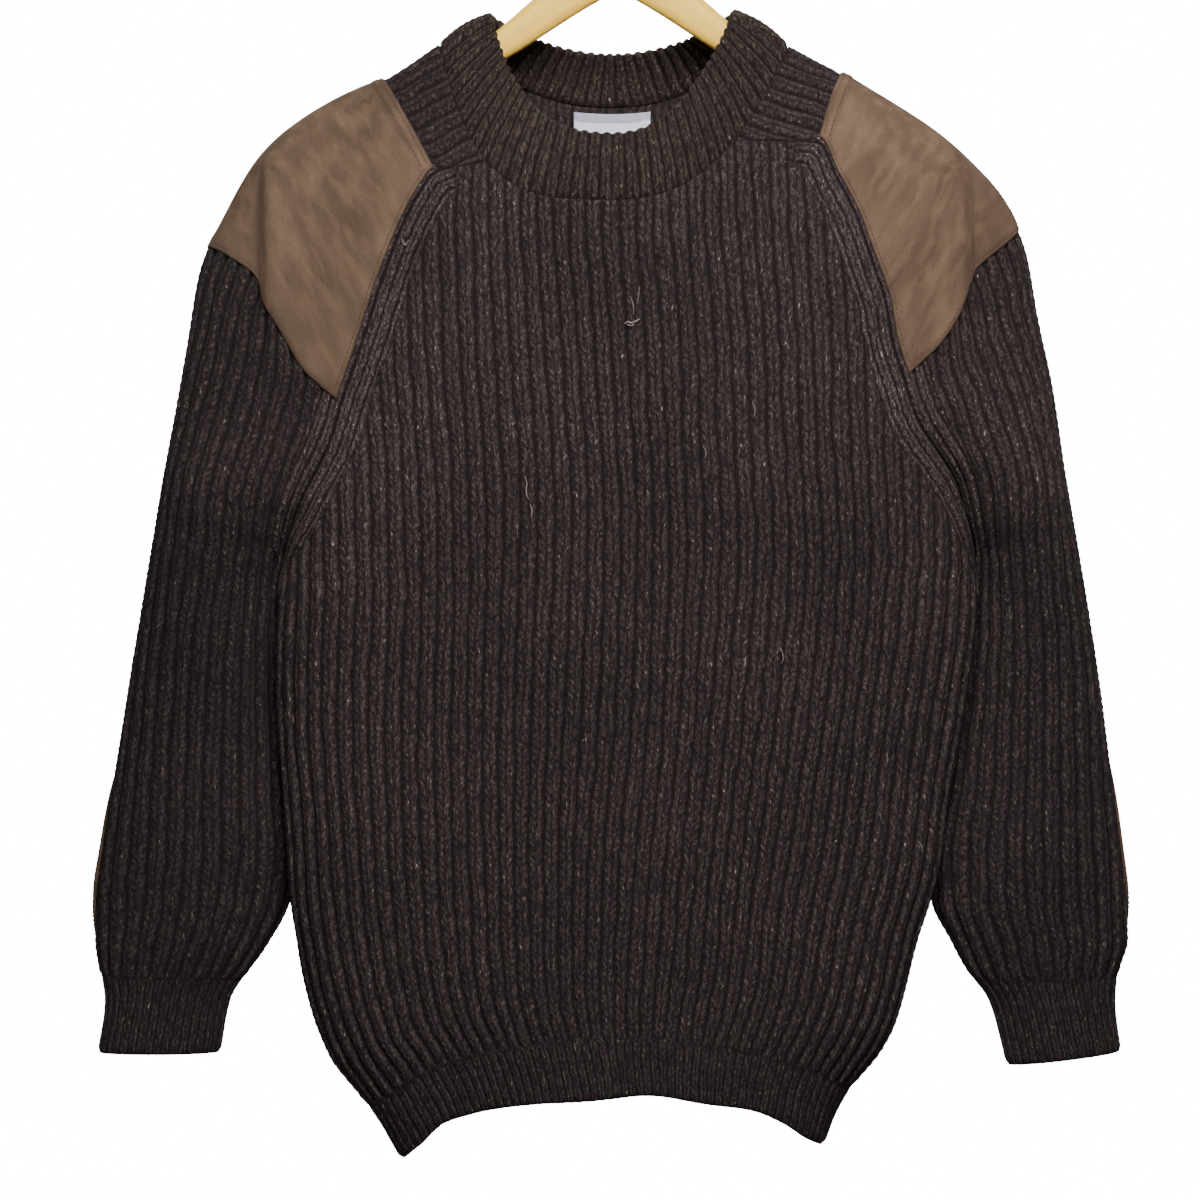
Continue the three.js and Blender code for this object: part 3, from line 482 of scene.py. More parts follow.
def ribbed_wool(name, channel, shade, light, fleck):
    """Heathered two-ply wool in chunky rib: matt, with a soft halo of fibres. Each rib is a
    chain of V stitches with a crease down its middle, and near-black, brown and pale fibres
    are spun together, so that the yarn looks salted from close by and even from afar. The
    channels, the crease and the gaps between strands are painted dark as shade."""
    m = new_material(name)
    knit = node(m, "ShaderNodeSeparateXYZ", {0: node(m, "ShaderNodeUVMap", uv_map="knit")})
    place = node(m, "ShaderNodeTexCoord").outputs["Object"]
    lift = node(m, "ShaderNodeAttribute", attribute_name="lift").outputs["Fac"]
    # the two legs of each stitch slant down to the middle of the rib, one pair to a course
    uneven = node(m, "ShaderNodeTexNoise", {"Vector": place, "Scale": 170.0, "Detail": 2.0})
    wander = node(m, "ShaderNodeMath", {0: uneven, 1: 0.34, 2: knit.outputs[0]}, operation="MULTIPLY_ADD")
    inside = node(m, "ShaderNodeMath", {0: wander, 1: 0.17}, operation="SUBTRACT")
    inside = node(m, "ShaderNodeMath", {0: inside}, operation="FRACT")
    off = node(m, "ShaderNodeMath", {0: inside, 1: 0.5}, operation="SUBTRACT")
    off = node(m, "ShaderNodeMath", {0: off}, operation="ABSOLUTE")
    slanted = node(m, "ShaderNodeMath", {0: off, 1: 1.9, 2: knit.outputs[1]}, operation="MULTIPLY_ADD")
    slanted = node(m, "ShaderNodeMath", {0: uneven, 1: 0.8, 2: slanted}, operation="MULTIPLY_ADD")
    turns = node(m, "ShaderNodeMath", {0: slanted, 1: 2 * math.pi}, operation="MULTIPLY")
    wave = node(m, "ShaderNodeMath", {0: turns}, operation="SINE")
    strand = node(m, "ShaderNodeMapRange", {"Value": wave, "From Min": -1.0, "From Max": 1.0})
    beside = node(m, "ShaderNodeMath", {0: off, 1: 0.22}, operation="SUBTRACT")
    beside = node(m, "ShaderNodeMath", {0: beside}, operation="ABSOLUTE")
    leg = node(m, "ShaderNodeMapRange", {
        "Value": beside, "From Min": 0.02, "From Max": 0.28, "To Min": 1.0, "To Max": 0.0},
        interpolation_type="SMOOTHSTEP")
    # fibres are drawn 0.8 mm wide and 2.4 mm long, and the heathering 2 mm by 7 mm, because
    # real fibres are too fine to show
    grain = node(m, "ShaderNodeMapping", {0: place, "Scale": (1300.0, 1300.0, 420.0)})
    fibre = node(m, "ShaderNodeTexNoise", {"Vector": grain, "Scale": 1.0, "Detail": 3.0})
    drawn = node(m, "ShaderNodeMapping", {0: place, "Scale": (480.0, 480.0, 150.0)})
    heather = node(m, "ShaderNodeTexNoise", {"Vector": drawn, "Scale": 1.0, "Detail": 5.0})
    cloud = node(m, "ShaderNodeTexNoise", {"Vector": place, "Scale": 8.0, "Detail": 3.0})
    kemp = node(m, "ShaderNodeTexNoise", {"Vector": grain, "Scale": 0.55, "Detail": 1.0})
    # from the painted shade of the channel, the middle crease and the gaps between strands up to the two
    # legs; the 'lift' attribute scales it with each piece's painted light and shade
    stitch = node(m, "ShaderNodeMapRange", {"Value": strand, "To Min": 0.62})
    up = node(m, "ShaderNodeMath", {0: leg, 1: stitch}, operation="MULTIPLY")
    up = node(m, "ShaderNodeMath", {0: up, 1: lift}, operation="MULTIPLY")
    fuzz = node(m, "ShaderNodeMapRange", {
        "Value": heather, "From Min": 0.36, "From Max": 0.62, "To Min": 1.25, "To Max": 0.45})
    up = node(m, "ShaderNodeMath", {0: up, 1: fuzz}, operation="MULTIPLY")
    colour = node(m, "ShaderNodeMix", {0: up, 6: linear(channel), 7: linear(shade)}, data_type="RGBA")
    salt = node(m, "ShaderNodeMapRange", {"Value": fibre, "From Min": 0.46, "From Max": 0.68, "To Max": 0.95})
    salt = node(m, "ShaderNodeMath", {0: salt, 1: up}, operation="MULTIPLY")
    colour = node(m, "ShaderNodeMix", {0: salt, 6: colour, 7: linear(light)}, data_type="RGBA")
    pepper = node(m, "ShaderNodeMapRange", {
        "Value": heather, "From Min": 0.52, "From Max": 0.7, "To Max": 0.55})
    colour = node(m, "ShaderNodeMix", {0: pepper, 6: colour, 7: linear(channel)}, data_type="RGBA")
    rare = node(m, "ShaderNodeMapRange", {"Value": kemp, "From Min": 0.7, "From Max": 0.78})
    rare = node(m, "ShaderNodeMath", {0: rare, 1: up}, operation="MULTIPLY")
    colour = node(m, "ShaderNodeMix", {0: rare, 6: colour, 7: linear(fleck)}, data_type="RGBA")
    uneven_tone_and_painted_light = node(m, "ShaderNodeMapRange", {
        "Value": cloud, "From Min": 0.3, "From Max": 0.7, "To Min": 0.8, "To Max": 1.15})
    colour = node(m, "ShaderNodeVectorMath", {0: colour, "Scale": uneven_tone_and_painted_light}, operation="SCALE")
    raised = node(m, "ShaderNodeMapRange", {"Value": strand, "To Min": 0.45})
    raised = node(m, "ShaderNodeMath", {0: raised, 1: leg}, operation="MULTIPLY")
    raised = node(m, "ShaderNodeMath", {0: fibre, 1: 0.7, 2: raised}, operation="MULTIPLY_ADD")
    bump = node(m, "ShaderNodeBump", {"Height": raised, "Strength": 0.7, "Distance": 0.0010})
    shader = node(m, "ShaderNodeBsdfPrincipled", {
        "Base Color": colour, "Normal": bump, "Roughness": 0.95, "IOR": 1.45, "Specular IOR Level": 0.15,
        "Sheen Weight": 0.10, "Sheen Roughness": 0.6, "Sheen Tint": linear("7a6d66")})
    node(m, "ShaderNodeOutputMaterial", {0: shader})
    return m


wool = ribbed_wool("heathered_wool_rib", "1d1617", "362b2c", "645958", "a59a90")

front = knitted_body("front", (0, -1, 0))
back = knitted_body("back", (0, 1, 0))
front.data.materials.append(wool)
back.data.materials.append(wool)
FRONT_FLAT, FRONT_AREA = (0.535, 0.70), 0.300
BACK_FLAT, BACK_AREA = (0.535, 0.76), 0.312
for panel, node_name, flat, area in (
    (front, "front_panel", FRONT_FLAT, FRONT_AREA),
    (back, "back_panel", BACK_FLAT, BACK_AREA),
):
    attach(panel, "root")
    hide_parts(node_name)

# ======================================================================================
# Sleeves. Knitted flat in the same rib and closed by a seam underneath, with a shaped head
# that runs up to the neck between the raglan seams, and a fine-ribbed cuff in one with it.
# ======================================================================================
LEFT_CROWN = [
    [0, -125, 0, -146], [0.11, -163, -1, -171], [0.2, -197, -2, -186], [0.29, -223, -3, -202],
    [0.38, -249, -5, -226], [0.47, -274, -5, -265], [0.56, -291, -4, -303], [0.63, -301, -2, -358],
    [0.72, -309, 0, -402], [0.865, -318, 2, -450], [1, -325, 3, -491], [1.28, -343, 12, -594],
    [1.45, -353, 15, -655], [1.6, -362, 16, -707], [1.7, -367, 16, -742], [1.78, -367, 16, -772],
    [1.86, -364, 16, -795], [1.91, -361, 16, -815], [2, -366, 16, -852],
]
LEFT_UNDER_SEAM = [
    [1, -234, 0, -507], [1.05, -237, 6, -523], [1.12, -235, 11, -549], [1.28, -234, 13, -604],
    [1.45, -231, 14, -663], [1.6, -226, 15, -713], [1.7, -231, 16, -746], [1.78, -245, 16, -774],
    [1.86, -261, 16, -797], [1.91, -272, 16, -815], [2, -279, 16, -852],
]
RIGHT_CROWN = [
    [0, 119, 0, -147], [0.11, 155, -1, -167], [0.2, 190, -2, -186], [0.29, 220, -3, -206],
    [0.38, 246, -5, -230], [0.47, 267, -5, -255], [0.56, 284, -4, -290], [0.63, 293, -2, -338],
    [0.72, 303, 0, -385], [0.865, 312, 2, -445], [1, 320, 3, -490], [1.28, 338, 12, -594],
    [1.45, 346, 15, -655], [1.6, 353, 16, -707], [1.7, 357, 16, -742], [1.78, 358, 16, -772],
    [1.86, 352, 16, -795], [1.91, 350, 16, -815], [2, 354, 16, -851],
]
RIGHT_UNDER_SEAM = [
    [1, 250, 0, -506], [1.05, 250, 6, -523], [1.12, 246, 11, -549], [1.28, 239, 13, -604],
    [1.45, 229, 14, -663], [1.6, 220, 15, -713], [1.7, 222, 16, -746], [1.78, 235, 16, -774],
    [1.86, 247, 16, -797], [1.91, 260, 16, -815], [2, 273, 16, -861],
]
SLEEVE_HANDLES = [
    [0, 40, 30], [0.11, 42, 30], [0.26, 46, 33], [0.38, 55, 36], [0.49, 58, 40], [0.63, 52, 46],
    [0.72, 46, 50], [0.865, 48, 55], [1, 55, 57], [1.28, 51, 51], [1.45, 46, 46], [1.6, 42, 42],
    [1.7, 38, 38], [1.86, 32, 32], [1.91, 29, 29], [2, 31, 31],
]
# How far the sleeve folds away from the body at the raglan seam, and how it then splays.
CREASE = [[0, 0], [0.63, 0], [0.72, 0.25], [0.865, 0.65], [1, 1], [2, 1]]
CREASE_SPLAY = [
    [0, 0.35, 0.35], [1, 0.35, 0.2], [1.1, 0.35, -0.35], [1.6, 0.35, -0.35], [1.86, 0, 0], [2, 0, 0],
]
PATCH_TOP = 0.11
PATCH_TIP = 0.63
# Row of the shoulder patch's lower edge, from the front seam round to the back seam. It steps
# up where the cloth breaks over the hanger's end.
PATCH_LOWER_EDGE = {
    "left": [
        [0, 0.63], [0.05, 0.615], [0.1, 0.6], [0.15, 0.577], [0.19, 0.561], [0.22, 0.546],
        [0.245, 0.524], [0.28, 0.519], [0.35, 0.521], [0.4, 0.524], [0.5, 0.53], [0.7, 0.557],
        [0.85, 0.592], [1, 0.63],
    ],
    "right": [
        [0, 0.63], [0.05, 0.615], [0.1, 0.602], [0.15, 0.584], [0.18, 0.566], [0.205, 0.548],
        [0.235, 0.535], [0.28, 0.534], [0.35, 0.534], [0.4, 0.533], [0.5, 0.53], [0.7, 0.557],
        [0.85, 0.592], [1, 0.63],
    ],
}
PATCH_FIRST_COLUMN = 0.012
SLEEVE_RIBS = 24
CUFF_RIBS = 36
CUFF_ROW = 1.87
ARM_ROW = 1.15  # the ribs are spaced evenly here, just below the underarm

crown_curves = {"left": smooth_curve(LEFT_CROWN), "right": smooth_curve(RIGHT_CROWN)}
under_curves = {"left": smooth_curve(LEFT_UNDER_SEAM), "right": smooth_curve(RIGHT_UNDER_SEAM)}
sleeve_handles = smooth_curve(SLEEVE_HANDLES)
crease_curve = smooth_curve(CREASE)
splay_curve = smooth_curve(CREASE_SPLAY)
patch_edges = {side: smooth_curve(table) for side, table in PATCH_LOWER_EDGE.items()}


def sleeve_start(side, face, row, seam, crown):
    """Direction in which the sleeve leaves its seam: level with the body above, folded below."""
    out = -1 if side == "left" else 1
    splay = np.zeros(row.shape + (3,))
    splay[..., 0] = out * splay_curve(row)[..., 0 if face == "front" else 1]
    splay[..., 1] = -1 if face == "front" else 1
    splay = unit(splay)
    high = np.minimum(row, 0.9999)
    edge = side_curves[side, face]
    along = edge(high + 1e-3) - edge(np.maximum(high - 1e-3, 0))
    body_way = arrival(face, side, high)
    normal = unit(np.cross(along, body_way))
    flat = crown - seam
    flat = unit(flat - normal * np.sum(flat * normal, -1, keepdims=True))
    near_neck = np.clip(1 - row / 0.11, 0, 1)[..., None]
    flat = unit(flat + (body_way - flat) * near_neck)
    folded = unit(flat + (splay - flat) * crease_curve(row))
    return np.where((row >= 1)[..., None], splay, folded)


def sleeve_surface(side, f, row):
    """Point on a sleeve: f is 0 at the front seam, 0.5 on the crown and 1 at the back seam."""
    f, row = np.broadcast_arrays(np.asarray(f, float), np.asarray(row, float))
    crown = crown_curves[side](row)
    seam_handle, crown_handle = np.moveaxis(sleeve_handles(row), -1, 0)
    halves = []
    for face, sign in (("front", -1), ("back", 1)):
        raglan = side_curves[side, face](np.minimum(row, 1))
        seam = np.where((row < 1)[..., None], raglan, under_curves[side](np.maximum(row, 1)))
        start = sleeve_start(side, face, row, seam, crown)
        near_seam = seam + start * seam_handle[..., None]
        near_crown = crown.copy()
        near_crown[..., 1] += sign * crown_handle
        t = f * 2 if face == "front" else 2 - f * 2
        halves.append(bezier(seam, near_seam, near_crown, crown, t))
    return np.where((f < 0.5)[..., None], halves[0], halves[1])


def crease_at(side, f, p):
    """Millimetres beyond the end of the hanger, and how strongly the cloth creases there."""
    out = -1 if side == "left" else 1
    past = p[..., 0] * out - (246 if side == "left" else 241) - 0.02 * (p[..., 2] + 230)
    down = np.clip((-205 - p[..., 2]) / 40, 0, 1) * np.clip((p[..., 2] + 380) / 80, 0, 1)
    towards_crown = np.clip((0.5 - f) / 0.16, 0, 1)
    return past, down * towards_crown * towards_crown * (3 - 2 * towards_crown)


def shoulder_fold(side, f, p):
    """The hanger's end holds the cloth forward; beyond it the sleeve falls away. Millimetres in y."""
    past, strength = crease_at(side, f, p)
    step = 1 / (1 + np.exp(-past / 2.0))
    ridge = np.exp(-((past + 4) / 6) ** 2)
    return (9.5 * step * np.exp(-np.clip(past, 0, None) / 55) - 5.2 * ridge) * strength


def sleeve_rows(side):
    fine = np.linspace(0, 2, 4001)
    arc = arc_along(sleeve_surface(side, np.full(4001, 0.25), fine))
    count = int(round(arc[-1] / (COURSE / 2) / 6)) * 6
    return np.interp(np.linspace(0, arc[-1], count + 1), arc, fine)


def sleeve_columns(side, count):
    """Columns evenly spaced just below the underarm, from the front seam to the back seam."""
    fine = np.linspace(0, 1, 801)
    arc = arc_along(sleeve_surface(side, fine, np.full(801, ARM_ROW)))
    halfway = arc[400]
    front_half = np.interp(np.linspace(0, halfway, count // 2 + 1), arc, fine)
    back_half = np.interp(np.linspace(halfway, arc[-1], count // 2 + 1), arc, fine)
    return np.concatenate([front_half, back_half[1:]])


def knitted_sleeve(side):
    out = -1 if side == "left" else 1
    count = SLEEVE_RIBS * 8
    half = count // 2
    f = sleeve_columns(side, count)[:, None]
    rows = sleeve_rows(side)
    q = rows[None, :]
    base = sleeve_surface(side, f, q)
    base[..., 1] += shoulder_fold(side, f, base)
    normal = surface_normals(base, (out, 0, 0))
    arc = arc_from(base, half)
    edge = np.where(arc < 0, -arc[:1], arc[-1:])
    level = np.argmin(np.abs(rows - ARM_ROW))
    widest = edge[:, level:level + 1]
    share = np.where(q >= ARM_ROW, np.abs(arc) / edge, np.abs(arc) / widest)
    seam = from_seam, _ = seam_distances(base, half)
    below = -seam_normal(side, "front", np.full(len(rows), 2.0))
    above = [seam_normal(side, face, rows) for face in ("front", "back")]
    seam_normals = [np.where((rows < 1)[:, None], way, below) for way in above]
    normal = shared_normals(normal, seam_normals, from_seam)
    band_width = (BAND_WIDTH - 1) * np.clip((1.07 - q) / 0.12, 0, 1) * np.clip((q - 0.09) / 0.03, 0, 1)
    band = from_seam < band_width
    cuff = q > CUFF_ROW
    ribs = np.where(cuff, CUFF_RIBS / 2, SLEEVE_RIBS / 2)
    phase = np.sign(arc) * share * ribs + 0.5 + rib_sway(base[..., 0] + 31, base[..., 2])
    uv, height = knit_pattern(phase, seam, band)
    # under the suede the ribs are pressed flat
    tip = patch_edges[side](f)[..., 0]
    covered = np.clip((q - PATCH_TOP) / 0.008, 0, 1) * np.clip((tip - q) / 0.008, 0, 1)
    covered = covered * np.clip((f - PATCH_FIRST_COLUMN) / 0.008, 0, 1)
    covered = covered * np.clip((1 - PATCH_FIRST_COLUMN - f) / 0.008, 0, 1)
    tall = np.where(cuff, 1.2, np.where(band, 2.2, 3.0)) * (1 - covered)
    tall = tall * (1 - 0.4 * bump_at(q - CUFF_ROW, 0.012))
    relief = height * tall - np.where(cuff, 0.9, 1.7)
    relief = relief + 0.9 * band * (q > PATCH_TIP - 0.02) * bump_at(from_seam - band_width / 2, 11)
    relief = relief + (-0.9 - relief) * bump_at(from_seam, 3.0)
    relief = relief * at_underarm(q, from_seam)
    length_left = np.linalg.norm(base - base[:, -1:], axis=-1)
    outer, inner = knit_faces(base, normal, relief, np.clip(length_left / EDGE_ROLL, 0, 1))
    # painted shade: the sleeves hang turned from the light and are drawn darker than the body, the left one
    # most; the seam grooves are painted dark as well
    uneven_tone_and_painted_light = 0.72 if side == "left" else 0.86
    crest = np.clip(0.25 + from_seam / 3, 0, 1) * np.where(band, 1.7, uneven_tone_and_painted_light)
    return closed_shell(f"sleeve_{side}_knit", outer, inner, (8, 6), uv, crest)


sleeves = {}
for side in ("left", "right"):
    sleeves[side] = knitted_sleeve(side)
    sleeves[side].data.materials.append(wool)
    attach(sleeves[side], "root")
    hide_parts(f"sleeve_{side}")

# ======================================================================================
# Collar. A mock crew collar: a ribbed strip knitted double, linked to the neck edge and
# folded over, so that its rim is round and both of its faces are ribbed.
# ======================================================================================
COLLAR_WALL = 6.0
COLLAR_PITCH = 8.7
NECK_SAMPLES = 240  # to each eighth of the way round
COLLAR_RIMS = {
    "left": {"front": (-68, -28, -181), "shoulder": (-90, 0, -124), "back": (-58, 29, -138)},
    "right": {"front": (60, -27, -167), "shoulder": (82, 0, -122), "back": (50, 29, -138)},
}
RIM_FRONT = np.array([NECK_SHIFT, -46, -213.0])
RIM_BACK = np.array([NECK_SHIFT, 37, -148.0])


def rim_quarters(side):
    """The rim's curves on one side: from the front centre over the shoulder to the back centre."""
    out = -1 if side == "left" else 1
    places = COLLAR_RIMS[side]
    front_end, shoulder, back_end = (np.array(places[k], float) for k in ("front", "shoulder", "back"))
    front_turn = unit(np.array([0.5 * out, 0.35, 0.79]))
    back_turn = unit(np.array([-0.85 * out, 0.42, -0.3]))
    shift = lambda p, dx, dy: p + np.array([dx * out, dy, 0.0])
    return {
        "to_front": (RIM_FRONT, shift(RIM_FRONT, 34, 0), front_end - front_turn * 26, front_end),
        "to_shoulder": (front_end, front_end + front_turn * 30, shift(shoulder, 0, -20), shoulder),
        "to_back": (shoulder, shift(shoulder, 0, 18), back_end - back_turn * 14, back_end),
        "to_back_centre": (back_end, back_end + back_turn * 16, shift(RIM_BACK, 20, 0), RIM_BACK),
    }


def neck_and_rim():
    """The neck edge and the rim, sampled in step all the way round, with the panels' normals."""
    t = np.linspace(0, 1, NECK_SAMPLES, endpoint=False)
    feet, rims, normals = [], [], []

    def stretch(surface, u, rim, rim_t, outward):
        foot = surface(u, np.zeros_like(u))
        below = surface(u, np.full_like(u, 0.01))
        ahead = surface(u + np.where(u > 0.5, -1e-4, 1e-4), np.zeros_like(u))
        normal = unit(np.cross(ahead - foot, below - foot))
        normal = np.where((normal @ np.array(outward))[:, None] < 0, -normal, normal)
        feet.append(foot)
        rims.append(bezier(*rim, rim_t))
        normals.append(normal)

    left, right = rim_quarters("left"), rim_quarters("right")
    front_body = lambda u, q: body_surface("front", u, q)
    back_body = lambda u, q: body_surface("back", u, q)
    left_sleeve = lambda u, q: sleeve_surface("left", u, q)
    right_sleeve = lambda u, q: sleeve_surface("right", u, q)
    stretch(front_body, -t, left["to_front"], t, (0, -1, 0.2))
    stretch(left_sleeve, t / 2, left["to_shoulder"], t, (-0.2, -0.6, 1))
    stretch(left_sleeve, 0.5 + t / 2, left["to_back"], t, (-0.2, 0.6, 1))
    stretch(back_body, -1 + t, left["to_back_centre"], t, (0, 1, 0.2))
    stretch(back_body, t, right["to_back_centre"], 1 - t, (0, 1, 0.2))
    stretch(right_sleeve, 1 - t / 2, right["to_back"], 1 - t, (0.2, 0.6, 1))
    stretch(right_sleeve, 0.5 - t / 2, right["to_shoulder"], 1 - t, (0.2, -0.6, 1))
    stretch(front_body, 1 - t, right["to_front"], 1 - t, (0, -1, 0.2))
    return np.vstack(feet), np.vstack(rims), np.vstack(normals)


def evenly_round(arrays, along, count):
    """Resamples closed rings so that their points are evenly spaced along one of them."""
    closed = np.vstack([along, along[:1]])
    arc = arc_along(closed)
    want = np.linspace(0, arc[-1], count, endpoint=False)
    result = []
    for a in arrays:
        a = np.vstack([a, a[:1]])
        result.append(np.stack([np.interp(want, arc, a[:, k]) for k in range(3)], -1))
    return result, arc[-1]


def smooth_ring(a, passes):
    for _ in range(passes):
        a = (np.roll(a, 1, 0) + a * 2 + np.roll(a, -1, 0)) / 4
    return a


def knitted_collar():
    feet, rims, normals = neck_and_rim()
    _, length = evenly_round([feet, rims, normals], (feet + rims) / 2, 100)
    ribs = int(round(length / COLLAR_PITCH))
    samples = 8
    count = ribs * samples
    (feet, rims, normals), _ = evenly_round([feet, rims, normals], (feet + rims) / 2, count)
    normals = unit(smooth_ring(unit(normals), 6))
    rise = rims - feet
    across = np.roll(rims, -6, 0) - np.roll(rims, 6, 0)
    wall_normal = unit(np.cross(across, rise))
    outward = rims - feet.mean(0)
    outward[:, 2] = 0
    wall_normal *= np.where(np.sum(wall_normal * outward, -1) < 0, -1, 1)[:, None]
    wall_normal = unit(smooth_ring(wall_normal, 10))
    height = np.linalg.norm(rise, axis=-1).mean()
    courses = int(round(height / (COURSE / 2)))
    up = np.linspace(0, 1, courses + 1)
    # the profile goes up the outer face, over the round rim and down the inner face, each
    # point as (share of the height, depth in the wall, tilt)
    turn = np.linspace(0, math.pi, 8)[1:-1]
    radius = COLLAR_WALL / 2
    profile = [(h, 0.0, 0.0) for h in up]
    profile += [(1.0 + radius * 0.75 * math.sin(a) / height, radius * (1 - math.cos(a)), a) for a in turn]
    profile += [(h, COLLAR_WALL, math.pi) for h in up[::-1]]
    # inside, the folded strip reaches down over the seam and is slip-stitched to the panels
    hem = ((1.6, 5.8), (2.8, 5.0), (3.0, 4.0), (1.2, 3.5))
    profile += [(-below / height, depth, math.pi) for below, depth in hem]
    phase = (np.arange(count) / samples)[:, None]
    cord = rib_height(phase, 0.76)[:, 0]
    grid, crest = [], []
    lift = unit(rise)
    for k, (h, depth, tilt) in enumerate(profile):
        n = unit(normals + (wall_normal - normals) * min(1.0, h * 2.5))
        p = feet + rise * h + n * (3.0 * math.sin(math.pi * min(h, 1.0)))
        facing = n * math.cos(tilt) + lift * math.sin(tilt)
        bead = 1.0 if k % 2 == 0 else COURSE_DIP
        tall = (3.0 * bead if h > 0.05 else 1.3) if h >= 0 else 0.2
        tall *= 1 - 0.6 * math.sin(tilt)
        relief = cord * tall - 1.1 - 0.7 * float(bump_at(h, 0.04))
        grid.append(p - n * depth + facing * relief[:, None])
        # painted shade at the foot and down the inside hem, and a painted highlight over the round rim
        crest.append(np.full(count, 0.75 if h < 0.03 else 1.45 if 0 < tilt < 3 else 1.0))
    grid = np.stack(grid, 1)
    grid[:, 0] += unit(grid[:, 1] - grid[:, 0]) * 0.4
    grid[:, -1] += unit(grid[:, -2] - grid[:, -1]) * 0.4
    crest = np.stack(crest, 1)
    rows = grid.shape[1]
    courses_down = np.broadcast_to(np.arange(rows) / 2, crest.shape)
    uv = np.stack([np.broadcast_to(phase, crest.shape), courses_down], -1)
    verts = grid.reshape(-1, 3) * MM
    ids = np.arange(len(verts)).reshape(count, rows)
    ids = np.vstack([ids, ids[:1]])
    ids = np.hstack([ids, ids[:, :1]])
    faces = grid_quads(ids).tolist()
    return finished_mesh("collar_rib", verts, faces, uv.reshape(-1, 2), crest.ravel())


collar = knitted_collar()
# this copy's channel colour is darker, for deeper painted shade between the collar's ribs
collar_wool = ribbed_wool("heathered_wool_collar_rib", "191312", "342a27", "65574f", "a1958b")
collar.data.materials.append(collar_wool)
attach(collar, "root")
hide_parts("collar")

# ======================================================================================
# Shoulder patches. Tan suede cut to the sleeve head, 1.2 mm thick, laid over the knit with
# its edges lockstitched down; the edge towards the neck is folded under and stitched twice.
# ======================================================================================
SUEDE_WALL = 1.2
NECK_FOLD = 9.0
STITCH_INSET = 3.2  # from the edge of the suede to its stitching
STITCH_PITCH = 3.6
STITCH_LENGTH = 2.7
THREAD_THICK = 0.75


def suede(name, base, uneven_tone_and_painted_light, deep, lean):
    """Split cowhide suede, sueded by abrasion: a short nap that is matt, clouded where it lies
    one way or the other and streaked along soft folds, the folds' light and shade painted in,
    and darker and flatter at the stitching and along the cut edges."""
    m = new_material(name)
    place = node(m, "ShaderNodeTexCoord").outputs["Object"]
    edge = node(m, "ShaderNodeAttribute", attribute_name="lift").outputs["Fac"]
    # soft folds run aslant over the patch: the colour is clouded and streaked along them, partly the nap
    # brushed that way and partly painted light and shade of the folds
    folds = node(m, "ShaderNodeMapping", {
        0: place, "Scale": (0.030, 0.030, 0.110), "Rotation": (0.0, lean, 0.0)}, vector_type="TEXTURE")
    cloud = node(m, "ShaderNodeTexNoise", {"Vector": folds, "Scale": 1.0, "Detail": 3.0})
    streak = node(m, "ShaderNodeTexNoise", {"Vector": folds, "Scale": 3.4, "Detail": 4.0})
    # the nap is under 0.2 mm, drawn at 0.8 mm so that it shows
    nap = node(m, "ShaderNodeTexNoise", {"Vector": place, "Scale": 1200.0, "Detail": 3.0})
    nap_and_painted_fold_shade = node(m, "ShaderNodeMapRange", {"Value": cloud, "From Min": 0.34, "From Max": 0.66})
    colour = node(m, "ShaderNodeMix", {0: nap_and_painted_fold_shade, 6: linear(deep), 7: linear(base)}, data_type="RGBA")
    nap_and_painted_fold_light = node(m, "ShaderNodeMapRange", {"Value": streak, "From Min": 0.44, "From Max": 0.74, "To Max": 0.5})
    colour = node(m, "ShaderNodeMix", {0: nap_and_painted_fold_light, 6: colour, 7: linear(uneven_tone_and_painted_light)}, data_type="RGBA")
    grit = node(m, "ShaderNodeMapRange", {
        "Value": nap, "From Min": 0.3, "From Max": 0.7, "To Min": 0.86, "To Max": 1.12})
    # the 'lift' attribute darkens the cut edges and the stitching, as wear, and carries the painted shadow
    # under the neck fold and the painted highlight and shade at the crease
    edge_wear_and_painted_light = node(m, "ShaderNodeMapRange", {"Value": edge, "From Max": 1.5, "To Min": 0.68, "To Max": 1.16})
    shade = node(m, "ShaderNodeMath", {0: grit, 1: edge_wear_and_painted_light}, operation="MULTIPLY")
    colour = node(m, "ShaderNodeVectorMath", {0: colour, "Scale": shade}, operation="SCALE")
    raised = node(m, "ShaderNodeMath", {0: cloud, 1: 1.2, 2: nap}, operation="MULTIPLY_ADD")
    bump = node(m, "ShaderNodeBump", {"Height": raised, "Strength": 0.35, "Distance": 0.0006})
    shader = node(m, "ShaderNodeBsdfPrincipled", {
        "Base Color": colour, "Normal": bump, "Roughness": 0.92, "IOR": 1.45, "Specular IOR Level": 0.2,
        "Sheen Weight": 0.2, "Sheen Roughness": 0.45, "Sheen Tint": linear("c9a98a")})
    node(m, "ShaderNodeOutputMaterial", {0: shader})
    return m


def plain_sheet(name, top, bottom, uv, shade):
    """A closed sheet between two grids of the same size."""
    columns, rows = top.shape[:2]
    verts = np.vstack([top.reshape(-1, 3), bottom.reshape(-1, 3)]) * MM
    upper = np.arange(columns * rows).reshape(columns, rows)
    lower = upper + columns * rows
    faces = grid_quads(upper).tolist() + grid_quads(lower)[:, ::-1].tolist()
    rim = [(i, 0) for i in range(columns)] + [(columns - 1, j) for j in range(1, rows)]
    rim += [(i, rows - 1) for i in range(columns - 2, -1, -1)] + [(0, j) for j in range(rows - 2, 0, -1)]
    for a, b in zip(rim, rim[1:] + rim[:1]):
        faces.append([int(upper[a]), int(lower[a]), int(lower[b]), int(upper[b])])
    both_uv, both_shade = np.vstack([uv.reshape(-1, 2)] * 2), np.concatenate([shade.ravel()] * 2)
    return finished_mesh(name, verts, faces, both_uv, both_shade)


